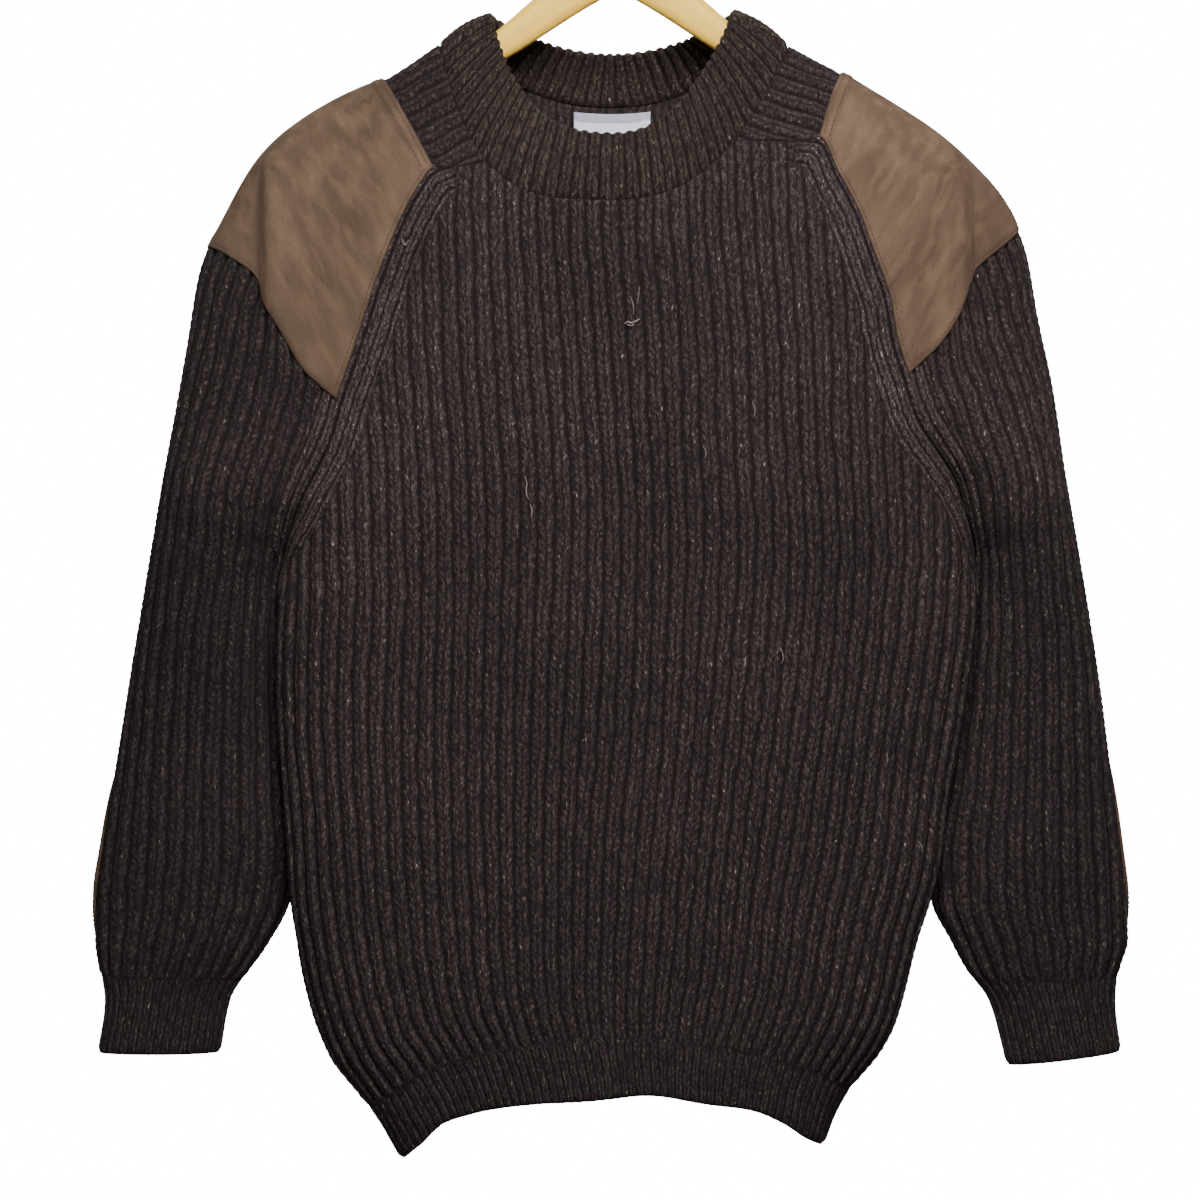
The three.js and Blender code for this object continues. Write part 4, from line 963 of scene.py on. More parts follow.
def stitch_line(name, points, normals, material):
    """A row of lockstitches along a line: short threads that dip into the cloth at each end."""
    arc = arc_along(points)
    verts, faces = [], []
    sides, steps = 5, 5
    for start in np.arange(STITCH_PITCH / 2, arc[-1] - STITCH_LENGTH, STITCH_PITCH):
        at = start + STITCH_LENGTH * np.linspace(0, 1, steps)
        centre = np.stack([np.interp(at, arc, points[:, k]) for k in range(3)], -1)
        up = unit(np.stack([np.interp(at, arc, normals[:, k]) for k in range(3)], -1))
        along = unit(np.gradient(centre, axis=0))
        side = unit(np.cross(along, up))
        rise = np.sin(np.pi * np.linspace(0.06, 0.94, steps)) ** 0.5
        centre = centre + up * ((rise - 0.75) * THREAD_THICK)[:, None]
        base = len(verts)
        for k in range(steps):
            r = THREAD_THICK / 2 * (0.75 if k in (0, steps - 1) else 1.0)
            for s in range(sides):
                a = 2 * math.pi * s / sides
                verts.append(centre[k] + up[k] * math.cos(a) * r + side[k] * math.sin(a) * r)
        ring = lambda k, s: base + k * sides + s % sides
        for k in range(steps - 1):
            for s in range(sides):
                faces.append([ring(k, s), ring(k, s + 1), ring(k + 1, s + 1), ring(k + 1, s)])
        faces.append([ring(0, s) for s in range(sides)][::-1])
        faces.append([ring(steps - 1, s) for s in range(sides)])
    verts = np.array(verts) * MM
    piece = finished_mesh(name, verts, faces, np.zeros((len(verts), 2)), np.ones(len(verts)))
    piece.data.materials.append(material)
    return piece


def waxed_thread(name, colour, shadow):
    """Bonded polyester sewing thread: dyed brown, twisted, and dark between its plies."""
    m = new_material(name)
    place = node(m, "ShaderNodeTexCoord").outputs["Object"]
    plies = node(m, "ShaderNodeTexNoise", {"Vector": place, "Scale": 1600.0, "Detail": 1.0})
    tone = node(m, "ShaderNodeMix", {0: plies, 6: linear(colour), 7: linear(shadow)}, data_type="RGBA")
    shader = node(m, "ShaderNodeBsdfPrincipled", {"Base Color": tone, "Roughness": 0.7, "IOR": 1.5})
    node(m, "ShaderNodeOutputMaterial", {0: shader})
    return m


def down_columns(base):
    """Distance of each point of a grid from the top of its column, measured down the column."""
    steps = np.linalg.norm(np.diff(base, axis=1), axis=-1)
    return np.hstack([np.zeros((len(base), 1)), np.cumsum(steps, axis=1)])


def shoulder_patch(side, material, thread):
    out = -1 if side == "left" else 1
    columns, rows = 150, 108
    f = sleeve_columns(side, 600)
    wanted = np.linspace(0, 1, columns)
    spread = np.interp(wanted, np.linspace(0, 1, len(f)), f)
    f = PATCH_FIRST_COLUMN + (1 - 2 * PATCH_FIRST_COLUMN) * spread[:, None]
    down = np.linspace(0, 1, rows)[None, :]
    tip = patch_edges[side](f)[..., 0]
    q = PATCH_TOP + (tip - PATCH_TOP) * down
    base = sleeve_surface(side, f, q)
    base[..., 1] += shoulder_fold(side, f, base)
    normal = surface_normals(base, (out, 0, 0))
    across, along = arc_from(base, 0), down_columns(base)
    from_side = np.minimum(across, across[-1:] - across)
    from_neck, from_tip = along, along[:, -1:] - along
    near = np.minimum(np.minimum(from_side, from_neck), from_tip)
    # the suede lies in soft waves, is drawn down by its stitching and rolls over at its edge
    rng = np.random.default_rng(7 if side == "left" else 8)
    waves = np.zeros_like(near)
    for _ in range(9):
        way = rng.normal(size=3) * np.array([1.0, 1.0, 0.6])
        waves += np.sin(base @ way / 30 + rng.uniform(0, 6.28)) * 0.3
    lift = 0.9 + waves * np.clip(near / 14, 0, 1)
    lift = lift - 0.55 * bump_at(near - STITCH_INSET, 1.8) - 0.75 * (1 - np.clip(near / 1.6, 0, 1)) ** 2
    lift = lift + 0.9 * np.clip((NECK_FOLD - from_neck) / 0.8, 0, 1) * np.clip(near / 1.0, 0, 1)
    lift = lift - 0.45 * bump_at(from_neck - NECK_FOLD + 1.4, 1.4)
    top = base + normal * (lift + SUEDE_WALL)[..., None]
    bottom = base + normal * np.clip(lift - 0.2, 0.1, 1)[..., None] * 0.55
    shade = np.clip(near / 2.2, 0, 1) * (1 - 0.5 * bump_at(near - STITCH_INSET, 1.3))
    # painted shadow along the foot of the neck fold, just beyond its edge
    shade = shade * (1 - 0.8 * bump_at(from_neck - NECK_FOLD - 0.6, 1.5))
    # painted highlight along the crease, and painted shade beyond it, where the sleeve turns away from the
    # light
    past, strength = crease_at(side, f, base)
    painted_crease_highlight, turned = np.exp(-((past + 3) / 2.5) ** 2), 1 + np.exp(-(past - 3) / 3)
    shade = shade + strength * (0.45 * painted_crease_highlight - 0.5 / turned)
    uv = np.stack([across / 100, along / 100], -1)
    patch = plain_sheet(f"shoulder_patch_{side}_suede", top, bottom, uv, shade)
    patch.data.materials.append(material)

    def contour(distance_grid, distance, axis, last=False):
        """Points of the patch's top where a distance has a value, one per column or row."""
        grid = np.moveaxis(top, axis, 1)
        norm = np.moveaxis(normal, axis, 1)
        dist = np.moveaxis(distance_grid, axis, 1)
        picked = []
        for k in range(grid.shape[0]):
            d = dist[k][::-1] if last else dist[k]
            i = int(np.argmax(d >= distance))
            w = (distance - d[i - 1]) / max(d[i] - d[i - 1], 1e-6)
            g = grid[k][::-1] if last else grid[k]
            n = norm[k][::-1] if last else norm[k]
            picked.append(np.concatenate([g[i - 1] + (g[i] - g[i - 1]) * w, n[i]]))
        picked = np.array(picked)
        return picked[3:-3, :3], picked[3:-3, 3:]

    # stitched twice along the neck fold, and once inside the lower edge and the two sides
    lines = [
        contour(from_neck, 3.0, 1),
        contour(from_neck, NECK_FOLD - 1.4, 1),
        contour(from_tip, STITCH_INSET, 1, last=True),
        contour(across, STITCH_INSET, 0),
        contour(across[-1:] - across, STITCH_INSET, 0, last=True),
    ]
    made = [stitch_line(f"shoulder_stitch_{side}_{k}", points, norms, thread)
            for k, (points, norms) in enumerate(lines)]
    bpy.ops.object.select_all(action="DESELECT")
    for piece in made:
        piece.select_set(True)
    bpy.context.view_layer.objects.active = made[0]
    bpy.ops.object.join()
    made[0].name = f"shoulder_stitching_{side}"
    return patch, made[0]


# painted shade: the left copy is drawn a little darker than the right, as the light falls more on the right
# shoulder
left_suede = suede("tan_suede_left", "655142", "806754", "4f3f32", -0.5)
right_suede = suede("tan_suede_right", "695344", "866b58", "534134", 0.5)
thread = waxed_thread("brown_topstitch_thread", "5d4838", "2e231c")
patches = {}
for side, material in (("left", left_suede), ("right", right_suede)):
    patch, stitching = shoulder_patch(side, material, thread)
    patches[side] = patch
    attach(patch, "root")
    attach(stitching, "root")
    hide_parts(f"shoulder_patch_{side}")

# ======================================================================================
# Elbow patches. The same suede, cut as tall ovals and stitched to the backs of the sleeves;
# the lower end of each just comes round the outer edge of its sleeve.
# ======================================================================================
ELBOW_CENTRE = (0.675, 1.54)
ELBOW_HALF = (0.185, 0.245)
ELBOW_TILT = {"left": 0.13, "right": 0.08}  # how far the lower end leans towards the front


def elbow_patch(side, material, thread):
    rings, spokes = 34, 132
    r = np.linspace(0, 1, rings + 1)[1:, None]
    angle = np.linspace(0, 2 * math.pi, spokes, endpoint=False)[None, :]
    power = 2 / 2.6
    a = np.sign(np.cos(angle)) * np.abs(np.cos(angle)) ** power * r
    b = np.sign(np.sin(angle)) * np.abs(np.sin(angle)) ** power * r
    place = lambda a, b: (ELBOW_CENTRE[0] + ELBOW_HALF[0] * a - ELBOW_TILT[side] * ELBOW_HALF[1] * 2.2 * b,
                          ELBOW_CENTRE[1] + ELBOW_HALF[1] * b)

    def base_and_normal(a, b):
        f, q = place(a, b)
        p = sleeve_surface(side, f, q)
        step = 1e-3
        around = sleeve_surface(side, f + step, q) - sleeve_surface(side, f - step, q)
        down = sleeve_surface(side, f, q + step) - sleeve_surface(side, f, q - step)
        n = unit(np.cross(around, down))
        middle = n.reshape(-1, 3).mean(0)
        return p, n if middle[1] > 0 else -n

    p, n = base_and_normal(a, b)
    centre_p, centre_n = base_and_normal(np.zeros(1), np.zeros(1))
    from_edge = np.linalg.norm(p - p[-1:], axis=-1)
    drawn_down = 0.5 * bump_at(from_edge - STITCH_INSET, 1.8)
    lift = 1.5 - drawn_down - 0.75 * (1 - np.clip(from_edge / 1.6, 0, 1)) ** 2
    lift = lift + 0.25 * np.sin(p[..., 2] / 17 + p[..., 0] / 11) * np.clip(from_edge / 12, 0, 1)
    top = p + n * (lift + SUEDE_WALL)[..., None]
    bottom = p + n * 0.6
    verts = np.vstack([centre_p + centre_n * (1.5 + SUEDE_WALL), top.reshape(-1, 3),
                       centre_p + centre_n * 0.6, bottom.reshape(-1, 3)]) * MM
    upper = 1 + np.arange(rings * spokes).reshape(rings, spokes)
    lower = upper + rings * spokes + 1
    faces = []
    for s in range(spokes):
        t = (s + 1) % spokes
        faces.append([0, int(upper[0, s]), int(upper[0, t])])
        faces.append([int(lower[0, 0]) - 1, int(lower[0, t]), int(lower[0, s])])
        for k in range(rings - 1):
            for side_ids, one, other in ((upper, s, t), (lower, t, s)):
                quad = [(k, one), (k + 1, one), (k + 1, other), (k, other)]
                faces.append([int(side_ids[at]) for at in quad])
        faces.append([int(upper[-1, s]), int(lower[-1, s]), int(lower[-1, t]), int(upper[-1, t])])
    shade = np.clip(from_edge / 2.2, 0, 1) * (1 - 0.5 * bump_at(from_edge - STITCH_INSET, 1.3))
    shade = np.concatenate([[1], shade.ravel(), [1], shade.ravel()])
    patch = finished_mesh(f"elbow_patch_{side}_suede", verts, faces, np.zeros((len(verts), 2)), shade)
    patch.data.materials.append(material)
    sewn = np.argmin(np.abs(from_edge - STITCH_INSET), axis=0), np.arange(spokes)
    ring, ring_n = smooth_ring(top[sewn], 3), smooth_ring(n[sewn], 3)
    stitching = stitch_line(f"elbow_stitching_{side}", np.vstack([ring, ring[:1]]),
                            np.vstack([ring_n, ring_n[:1]]), thread)
    return patch, stitching


for side, material in (("left", left_suede), ("right", right_suede)):
    patch, stitching = elbow_patch(side, material, thread)
    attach(patch, "root")
    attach(stitching, "root")
    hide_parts(f"elbow_patch_{side}")

# ======================================================================================
# Neck label. A blank woven satin label, its top edge folded under and drawn darker, sewn
# to the inside of the back just below the collar.
# ======================================================================================
LABEL_HALF_WIDTH = 27.0
LABEL_ROWS = (0.035, 0.2)
LABEL_BAND = 6.0


def woven_label():
    columns, rows = 56, 40
    q = np.broadcast_to(np.linspace(*LABEL_ROWS, rows)[None, :], (columns, rows))
    want = NECK_SHIFT + np.linspace(-1, 1, columns) * LABEL_HALF_WIDTH
    fine = np.linspace(-1, 1, 2001)
    u = np.stack([np.interp(want, body_surface("back", fine, np.full(2001, row))[:, 0], fine)
                  for row in np.linspace(*LABEL_ROWS, rows)], 1)
    base = body_surface("back", u, q)
    normal = -surface_normals(base, (0, 1, 0))
    along = down_columns(base)
    x = base[..., 0]
    wave = 0.5 * np.sin(x / 4.6) * bump_at(along, 9) + 0.25 * np.sin(x / 9 + along / 7)
    depth = KNIT_WALL + 0.9 + wave * 0.8
    depth = depth + 0.4 * (along < LABEL_BAND)
    top = base + normal * depth[..., None]
    bottom = base + normal * (depth - 0.45)[..., None]
    band = np.where(along < LABEL_BAND, 1.0, 0.0)
    uv = np.stack([x, along], -1)
    return plain_sheet("neck_label_woven", top, bottom, uv, band)


def satin_label(name, ground, folded):
    """Polyester satin label tape, loom woven: smooth, slightly glossy floats in a twill whose
    lines are half a millimetre apart, drawn at 0.8 mm so that they show."""
    m = new_material(name)
    weave = node(m, "ShaderNodeSeparateXYZ", {0: node(m, "ShaderNodeUVMap", uv_map="knit")})
    place = node(m, "ShaderNodeTexCoord").outputs["Object"]
    band = node(m, "ShaderNodeAttribute", attribute_name="lift").outputs["Fac"]
    twill = node(m, "ShaderNodeMath", {0: weave.outputs[0], 1: weave.outputs[1]}, operation="ADD")
    twill = node(m, "ShaderNodeMath", {0: twill, 1: 2 * math.pi / 0.8}, operation="MULTIPLY")
    twill = node(m, "ShaderNodeMath", {0: twill}, operation="SINE")
    slub = node(m, "ShaderNodeTexNoise", {"Vector": place, "Scale": 120.0, "Detail": 3.0})
    colour = node(m, "ShaderNodeMix", {0: band, 6: linear(ground), 7: linear(folded)}, data_type="RGBA")
    tone = node(m, "ShaderNodeMapRange", {
        "Value": slub, "From Min": 0.3, "From Max": 0.7, "To Min": 0.9, "To Max": 1.05})
    tone = node(m, "ShaderNodeMath", {0: twill, 1: 0.03, 2: tone}, operation="MULTIPLY_ADD")
    colour = node(m, "ShaderNodeVectorMath", {0: colour, "Scale": tone}, operation="SCALE")
    bump = node(m, "ShaderNodeBump", {"Height": twill, "Strength": 0.3, "Distance": 0.0003})
    shader = node(m, "ShaderNodeBsdfPrincipled", {
        "Base Color": colour, "Normal": bump, "Roughness": 0.55, "IOR": 1.5})
    node(m, "ShaderNodeOutputMaterial", {0: shader})
    return m


label = woven_label()
label.data.materials.append(satin_label("blank_satin_label", "eef1fb", "b9b6cc"))
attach(label, "root")
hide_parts("neck_label")

# ======================================================================================
# Hanger. A contoured beech hanger, bandsawn, rounded over and varnished: its two arms run
# down from a flat neck and thicken towards the ends that carry the shoulders.
# ======================================================================================
# Each section: [x from the middle, top z, bottom z, half thickness], in millimetres.
HANGER_SECTIONS = [
    [0, -68, -108, 7], [12, -69, -114, 7], [24, -79, -121, 7], [40, -97, -131, 7],
    [64, -117, -147, 7.5], [84, -135.5, -159, 8], [104, -149, -170, 9], [125, -159, -181, 10],
    [163, -179, -201, 12],
    [198, -200.5, -221, 12], [225, -219, -238, 12], [237, -231, -247, 9], [242, -236, -245, 5],
]
SECTION_SIDES = 24


def hanger_arms():
    """Half the bar is extruded section by section from one rounded outline, then mirrored."""
    bpy.ops.object.select_all(action="DESELECT")
    _, top, bottom, thick = HANGER_SECTIONS[0]
    middle, high = (top + bottom) / 2, (top - bottom) / 2
    bpy.ops.mesh.primitive_circle_add(vertices=SECTION_SIDES, radius=1.0, fill_type="NOTHING",
                                      location=(0, 0, middle * MM), rotation=(0, math.pi / 2, 0))
    bar = bpy.context.object
    bar.name = "hanger_wood_bar"
    bpy.ops.object.transform_apply(location=True, rotation=True, scale=True)
    # squared-off oval: the circle's corners are pushed outwards
    for v in bar.data.vertices:
        y, z = v.co.y, v.co.z - middle * MM
        v.co.y = math.copysign(abs(y) ** 0.7, y) * thick * MM
        v.co.z = middle * MM + math.copysign(abs(z) ** 0.7, z) * high * MM
    bpy.ops.object.mode_set(mode="EDIT")
    bpy.ops.mesh.select_all(action="SELECT")
    previous = (0, middle, high, thick)
    for x, top, bottom, thick in HANGER_SECTIONS[1:]:
        middle, high = (top + bottom) / 2, (top - bottom) / 2
        step = ((x - previous[0]) * MM, 0, (middle - previous[1]) * MM)
        bpy.ops.mesh.extrude_region_move(TRANSFORM_OT_translate={"value": step})
        bpy.ops.transform.resize(value=(1, thick / previous[3], high / previous[2]),
                                 center_override=(x * MM, 0, middle * MM))
        previous = (x, middle, high, thick)
    bpy.ops.mesh.extrude_region_move(TRANSFORM_OT_translate={"value": (1.6 * MM, 0, -0.8 * MM)})
    bpy.ops.transform.resize(value=(1, 0.45, 0.45),
                             center_override=((previous[0] + 1.6) * MM, 0, (previous[1] - 0.8) * MM))
    bpy.ops.mesh.edge_face_add()
    bpy.ops.object.mode_set(mode="OBJECT")
    mirror = bar.modifiers.new("other_arm", "MIRROR")
    mirror.use_axis = (True, False, False)
    mirror.merge_threshold = 0.0001
    bpy.ops.object.modifier_apply(modifier="other_arm")
    smooth = bar.modifiers.new("rounded_over", "SUBSURF")
    smooth.levels = smooth.render_levels = 2
    bpy.ops.object.modifier_apply(modifier="rounded_over")
    bpy.ops.object.mode_set(mode="EDIT")
    bpy.ops.mesh.select_all(action="SELECT")
    bpy.ops.mesh.normals_make_consistent(inside=False)
    bpy.ops.object.mode_set(mode="OBJECT")
    bpy.ops.object.shade_smooth()
    return bar


def varnished_beech(name, early, late, ray):
    """Steamed beech under clear satin varnish: pale straw, with slow bands of darker late wood
    about 6 mm wide along each arm and the short dark rays that tell beech from other woods."""
    m = new_material(name)
    place = node(m, "ShaderNodeSeparateXYZ", {0: node(m, "ShaderNodeTexCoord").outputs["Object"]})
    # both arms fall away from the middle, so the grain follows the distance from it
    out = node(m, "ShaderNodeMath", {0: place.outputs[0]}, operation="ABSOLUTE")
    across = node(m, "ShaderNodeMath", {0: out, 1: 0.7, 2: place.outputs[2]}, operation="MULTIPLY_ADD")
    along = node(m, "ShaderNodeCombineXYZ", {0: out, 1: place.outputs[1], 2: across})
    along = node(m, "ShaderNodeMapping", {0: along, "Scale": (14.0, 160.0, 160.0)})
    rings = node(m, "ShaderNodeTexNoise", {"Vector": along, "Scale": 1.0, "Detail": 4.0})
    rays = node(m, "ShaderNodeTexNoise", {"Vector": along, "Scale": 9.0, "Detail": 2.0})
    dark = node(m, "ShaderNodeMapRange", {"Value": rings, "From Min": 0.42, "From Max": 0.75})
    colour = node(m, "ShaderNodeMix", {0: dark, 6: linear(early), 7: linear(late)}, data_type="RGBA")
    dash = node(m, "ShaderNodeMapRange", {"Value": rays, "From Min": 0.58, "From Max": 0.75, "To Max": 0.35})
    colour = node(m, "ShaderNodeMix", {0: dash, 6: colour, 7: linear(ray)}, data_type="RGBA")
    bump = node(m, "ShaderNodeBump", {"Height": rays, "Strength": 0.12, "Distance": 0.0003})
    shader = node(m, "ShaderNodeBsdfPrincipled", {
        "Base Color": colour, "Normal": bump, "Roughness": 0.55, "IOR": 1.5, "Specular IOR Level": 0.3,
        "Coat Weight": 0.08, "Coat Roughness": 0.3})
    node(m, "ShaderNodeOutputMaterial", {0: shader})
    return m


bar = hanger_arms()
bar.data.materials.append(varnished_beech("varnished_beech", "ffce4e", "f4b83a", "c48c34"))
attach(bar, "root")
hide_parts("hanger_bar")

# ======================================================================================
# Hook. Spring-steel wire, 3.8 mm, bent cold to three quarters of a circle with a straight
# threaded shank screwed into the hanger's neck, and nickel plated.
# ======================================================================================
HOOK_WIRE_R = 1.9
HOOK_BEND_R = 19.0
HOOK_SHANK_FOOT = -92.0


def hook_line(t):
    r = HOOK_BEND_R + HOOK_WIRE_R
    if t < 0.42:
        head = -HOOK_BEND_R - r - 1
        return 0.0, HOOK_SHANK_FOOT + (head - HOOK_SHANK_FOOT) * t / 0.42
    s = (t - 0.42) / 0.58
    ease = min(1.0, s * 4)
    angle = -math.pi / 2 + s * math.pi * 1.42
    return r * math.cos(angle) * ease, -HOOK_BEND_R + r * math.sin(angle) - (1 - ease)


def wire_hook():
    """A circle of wire is carried up the shank and round the bend, one short step at a time."""
    steps = 120
    bpy.ops.object.select_all(action="DESELECT")
    x, z = hook_line(0)
    bpy.ops.mesh.primitive_circle_add(vertices=20, radius=HOOK_WIRE_R * 0.8 * MM, fill_type="NGON",
                                      location=(x * MM, 0, z * MM))
    hook = bpy.context.object
    hook.name = "hanger_hook_wire"
    bpy.ops.object.transform_apply(location=True, rotation=True, scale=True)
    bpy.ops.object.mode_set(mode="EDIT")
    bpy.ops.mesh.select_all(action="SELECT")
    heading = 0.0
    for k in range(1, steps + 1):
        nx, nz = hook_line(k / steps)
        turn = math.atan2(nx - x, nz - z)
        step = ((nx - x) * MM, 0, (nz - z) * MM)
        bpy.ops.mesh.extrude_region_move(TRANSFORM_OT_translate={"value": step})
        change = (turn - heading + math.pi) % (2 * math.pi) - math.pi
        bpy.ops.transform.rotate(value=-change, orient_axis="Y",
                                 center_override=(nx * MM, 0, nz * MM))
        size = {1: 1.25, steps - 1: 0.85, steps: 0.5}.get(k, 1.0)
        if size != 1.0:
            bpy.ops.transform.resize(value=(size,) * 3, center_override=(nx * MM, 0, nz * MM))
        heading, x, z = turn, nx, nz
    bpy.ops.mesh.select_all(action="SELECT")
    bpy.ops.mesh.normals_make_consistent(inside=False)
    bpy.ops.object.mode_set(mode="OBJECT")
    bpy.ops.object.shade_smooth()
    return hook


def nickel_plate(name, colour):
    """Nickel plated on drawn steel wire: bright and slightly warm, with faint drawing marks."""
    m = new_material(name)
    place = node(m, "ShaderNodeTexCoord").outputs["Object"]
    marks = node(m, "ShaderNodeTexNoise", {"Vector": place, "Scale": 900.0, "Detail": 2.0})
    rough = node(m, "ShaderNodeMapRange", {"Value": marks, "To Min": 0.16, "To Max": 0.28})
    bump = node(m, "ShaderNodeBump", {"Height": marks, "Strength": 0.08, "Distance": 0.0002})
    shader = node(m, "ShaderNodeBsdfPrincipled", {
        "Base Color": linear(colour), "Roughness": rough, "Normal": bump, "Metallic": 1.0})
    node(m, "ShaderNodeOutputMaterial", {0: shader})
    return m


hook = wire_hook()
hook.data.materials.append(nickel_plate("nickel_plated_wire", "cfcbc4"))
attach(hook, "root")
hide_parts("hanger_hook")

# ======================================================================================
# Stray yarn. Ends of paler wool that were spun in and have worked their way out of the knit:
# one short bent end on the chest and a few thin hairs and slubs on the front.
# ======================================================================================
# Each: radius, then the points that it passes, as x and z in millimetres.
STRAY_ENDS = [
    (0.55, [(4.2, -344.0), (6.6, -342.6), (9.0, -343.8), (11.4, -342.6), (14.8, -341.0)]),
    (0.40, [(5.6, -344.6), (8.8, -345.6), (11.4, -344.2)]),
    (0.26, [(8.0, -325.0), (9.6, -328.5), (10.6, -333.5), (10.2, -338.0)]),
    (0.24, [(14.6, -319.0), (14.0, -324.0), (12.9, -330.5)]),
    (0.34, [(110.6, -566.5), (112.8, -570.0), (113.4, -574.6), (112.0, -578.0)]),
    (0.36, [(-64.0, -449.0), (-62.6, -454.0), (-63.6, -459.5), (-61.6, -465.0)]),
    (0.40, [(-60.6, -468.0), (-59.2, -472.5), (-59.8, -477.0)]),
    (0.36, [(-149.0, -285.5), (-146.6, -290.6), (-144.2, -286.2)]),
    (0.30, [(207.0, -700.0), (209.8, -704.0), (211.0, -709.5)]),
    (0.30, [(58.0, -428.0), (60.4, -432.0), (59.6, -437.0)]),
    (0.28, [(92.0, -398.0), (94.0, -403.0), (93.2, -408.5)]),
]


def stray_end(radius, line, ground):
    """A tapered, slightly arched length of yarn laid on the knitting."""
    spots = []
    for x, z in line:
        near = ground[(np.abs(ground[:, 0] - x) < 2.6) & (np.abs(ground[:, 2] - z) < 2.6)]
        spots.append([x, near[:, 1].min() if len(near) else 0.0, z])
    spots = np.array(spots)
    t = np.linspace(0, len(spots) - 1, 5 * len(spots))
    centre = np.stack([np.interp(t, np.arange(len(spots)), spots[:, k]) for k in range(3)], -1)
    centre[:, 1] = centre[:, 1].mean() * 0.5 + centre[:, 1] * 0.5
    centre[:, 1] -= radius + 0.9 * np.sin(np.linspace(0.2, math.pi, len(t)))
    for _ in range(3):
        centre[1:-1] = (centre[:-2] + 2 * centre[1:-1] + centre[2:]) / 4
    way = unit(np.gradient(centre, axis=0))
    side = unit(np.cross(way, np.array([0.0, 1.0, 0.0])))
    up = np.cross(side, way)
    thick = radius * (0.35 + 0.65 * np.sin(np.linspace(0.15, math.pi - 0.15, len(t))))
    angles = np.linspace(0, 2 * math.pi, 6, endpoint=False)
    ring = np.cos(angles)[None, :, None] * side[:, None] + np.sin(angles)[None, :, None] * up[:, None]
    return centre[:, None] + ring * thick[:, None, None]


def stray_yarn(material, ground):
    verts, faces = [], []
    for radius, line in STRAY_ENDS:
        tube = stray_end(radius, line, ground)
        rings, sides = tube.shape[:2]
        ids = len(verts) + np.arange(rings * sides).reshape(rings, sides)
        verts.extend(tube.reshape(-1, 3).tolist())
        for k in range(rings - 1):
            for n in range(sides):
                m = (n + 1) % sides
                faces.append([int(ids[k, n]), int(ids[k, m]), int(ids[k + 1, m]), int(ids[k + 1, n])])
        faces.append(ids[0].tolist()[::-1])
        faces.append(ids[-1].tolist())
    verts = np.array(verts) * MM
    piece = finished_mesh("stray_pale_yarn", verts, faces, np.zeros((len(verts), 2)), np.ones(len(verts)))
    piece.data.materials.append(material)
    return piece


def undyed_wool(name, pale, shade):
    """Undyed wool: off-white fibres, twisted, with painted shade where the plies meet."""
    m = new_material(name)
    place = node(m, "ShaderNodeTexCoord").outputs["Object"]
    plies = node(m, "ShaderNodeTexNoise", {"Vector": place, "Scale": 1400.0, "Detail": 2.0})
    tone = node(m, "ShaderNodeMix", {0: plies, 6: linear(pale), 7: linear(shade)}, data_type="RGBA")
    bump = node(m, "ShaderNodeBump", {"Height": plies, "Strength": 0.4, "Distance": 0.0003})
    shader = node(m, "ShaderNodeBsdfPrincipled", {
        "Base Color": tone, "Normal": bump, "Roughness": 0.9, "IOR": 1.45})
    node(m, "ShaderNodeOutputMaterial", {0: shader})
    return m


front_points = np.array([v.co for v in front.data.vertices]) / MM
stray = stray_yarn(undyed_wool("undyed_wool_yarn", "a3978e", "6a605a"), front_points)
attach(stray, "root")

# ======================================================================================
# Backdrop, floor, camera and light. A white studio, lit softly from in front, above and
# behind; none of it belongs to the garment.
# ======================================================================================
def plain_white(name, colour, glow):
    """Matt white paper that glows, so that it stays white to its corners."""
    m = new_material(name)
    shader = node(m, "ShaderNodeBsdfPrincipled", {
        "Base Color": linear(colour), "Roughness": 0.9,
        "Emission Color": linear("ffffff"), "Emission Strength": glow})
    node(m, "ShaderNodeOutputMaterial", {0: shader})
    return m


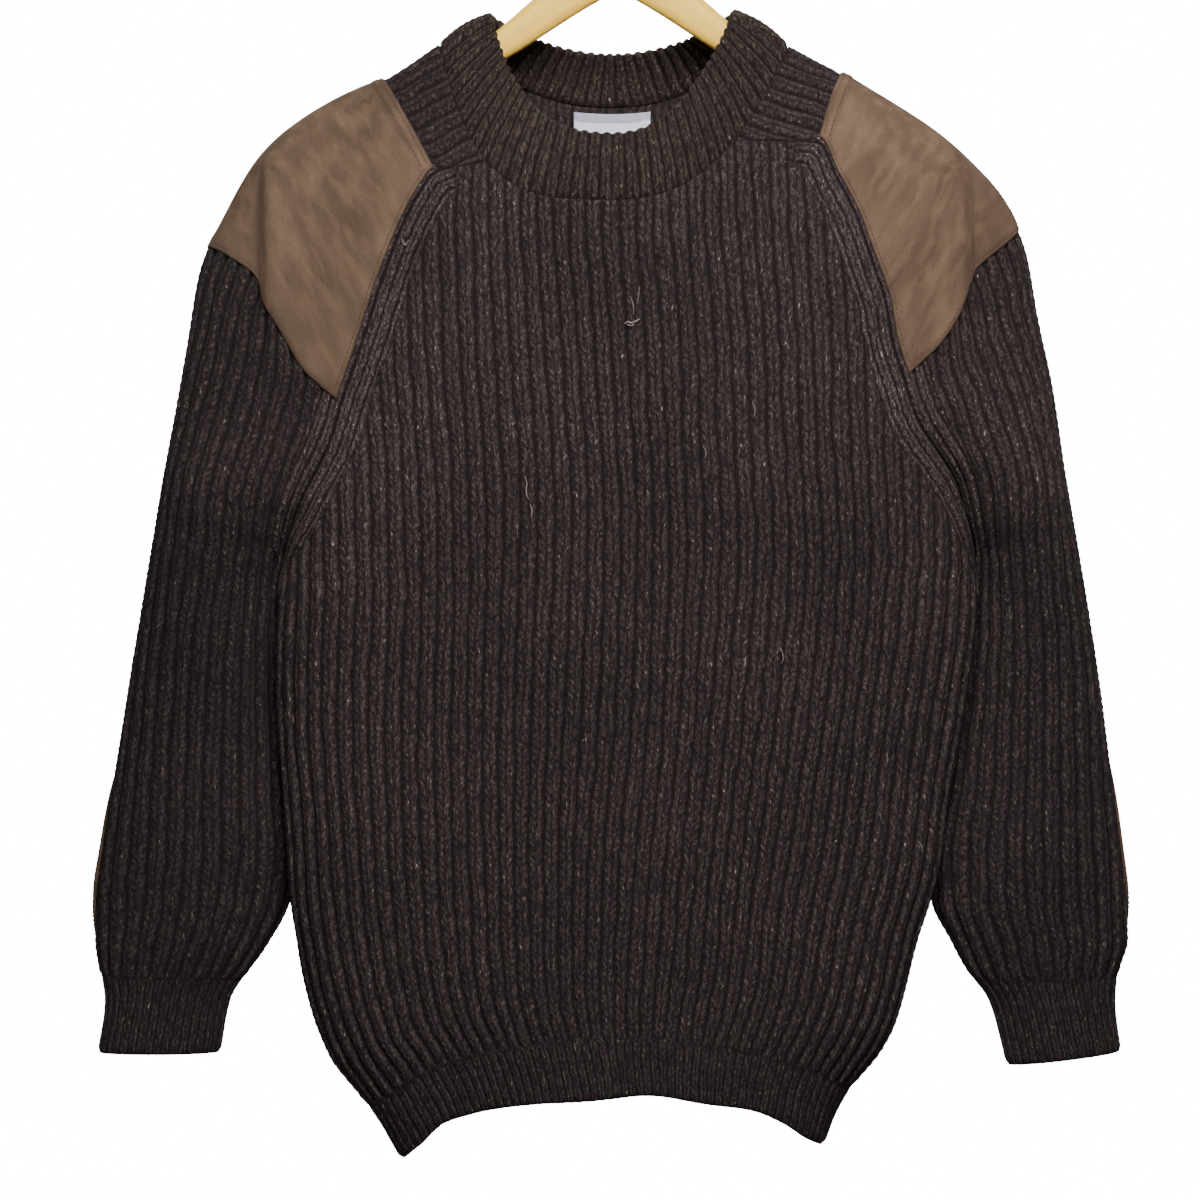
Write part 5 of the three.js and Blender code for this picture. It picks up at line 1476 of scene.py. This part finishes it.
white = plain_white("studio_white", "f4f4f4", 16.0)
bpy.ops.object.select_all(action="DESELECT")
bpy.ops.mesh.primitive_plane_add(size=24, location=(0, 0, -1.35))
floor = bpy.context.object
floor.name = "studio_floor"
bpy.ops.mesh.primitive_cylinder_add(vertices=48, radius=9, depth=24, end_fill_type="NOTHING",
                                    location=(0, 0, 10))
backdrop = bpy.context.object
backdrop.name = "studio_backdrop"
for screen in (floor, backdrop):
    screen.data.materials.append(white)
    screen.visible_diffuse = screen.visible_glossy = False

CAMERA_DISTANCE = 3.0
VIEW_WIDTH = 0.840
camera_data = bpy.data.cameras.new("studio_camera")
camera_data.sensor_width = 36.0
camera_data.lens = 36.0 * CAMERA_DISTANCE / VIEW_WIDTH
camera = bpy.data.objects.new("studio_camera", camera_data)
camera.location = (-0.0126, -CAMERA_DISTANCE, -0.534)
camera.rotation_euler = (math.pi / 2, 0, 0)
bpy.context.scene.collection.objects.link(camera)
bpy.context.scene.camera = camera


def soft_light(name, energy, size, location, target):
    data = bpy.data.lights.new(name, "AREA")
    data.energy, data.size = energy, size
    light = bpy.data.objects.new(name, data)
    light.location = location
    way = np.array(target, float) - np.array(location, float)
    tilt, turn = math.atan2(math.hypot(way[0], way[1]), -way[2]), math.atan2(way[1], way[0])
    light.rotation_euler = (tilt, 0, turn - math.pi / 2)
    light.visible_camera = False
    bpy.context.scene.collection.objects.link(light)


soft_light("key_softbox", 33, 0.7, (0.14, -1.2, 0.42), (0.03, 0, -0.34))
soft_light("front_fill", 6, 1.6, (-0.6, -2.4, -0.4), (0, 0, -0.5))
soft_light("back_fill", 30, 1.6, (-0.5, 2.2, 0.4), (0, 0, -0.5))
soft_light("side_fill", 5, 1.4, (2.2, 1.0, 0.2), (0, 0, -0.5))
soft_light("other_side_fill", 3, 1.4, (-2.2, 1.0, 0.2), (0, 0, -0.5))
world = bpy.data.worlds.new("studio_air")
world.use_nodes = True
world.node_tree.nodes["Background"].inputs[0].default_value = (1, 1, 1, 1)
world.node_tree.nodes["Background"].inputs[1].default_value = 0.18
bpy.context.scene.world = world
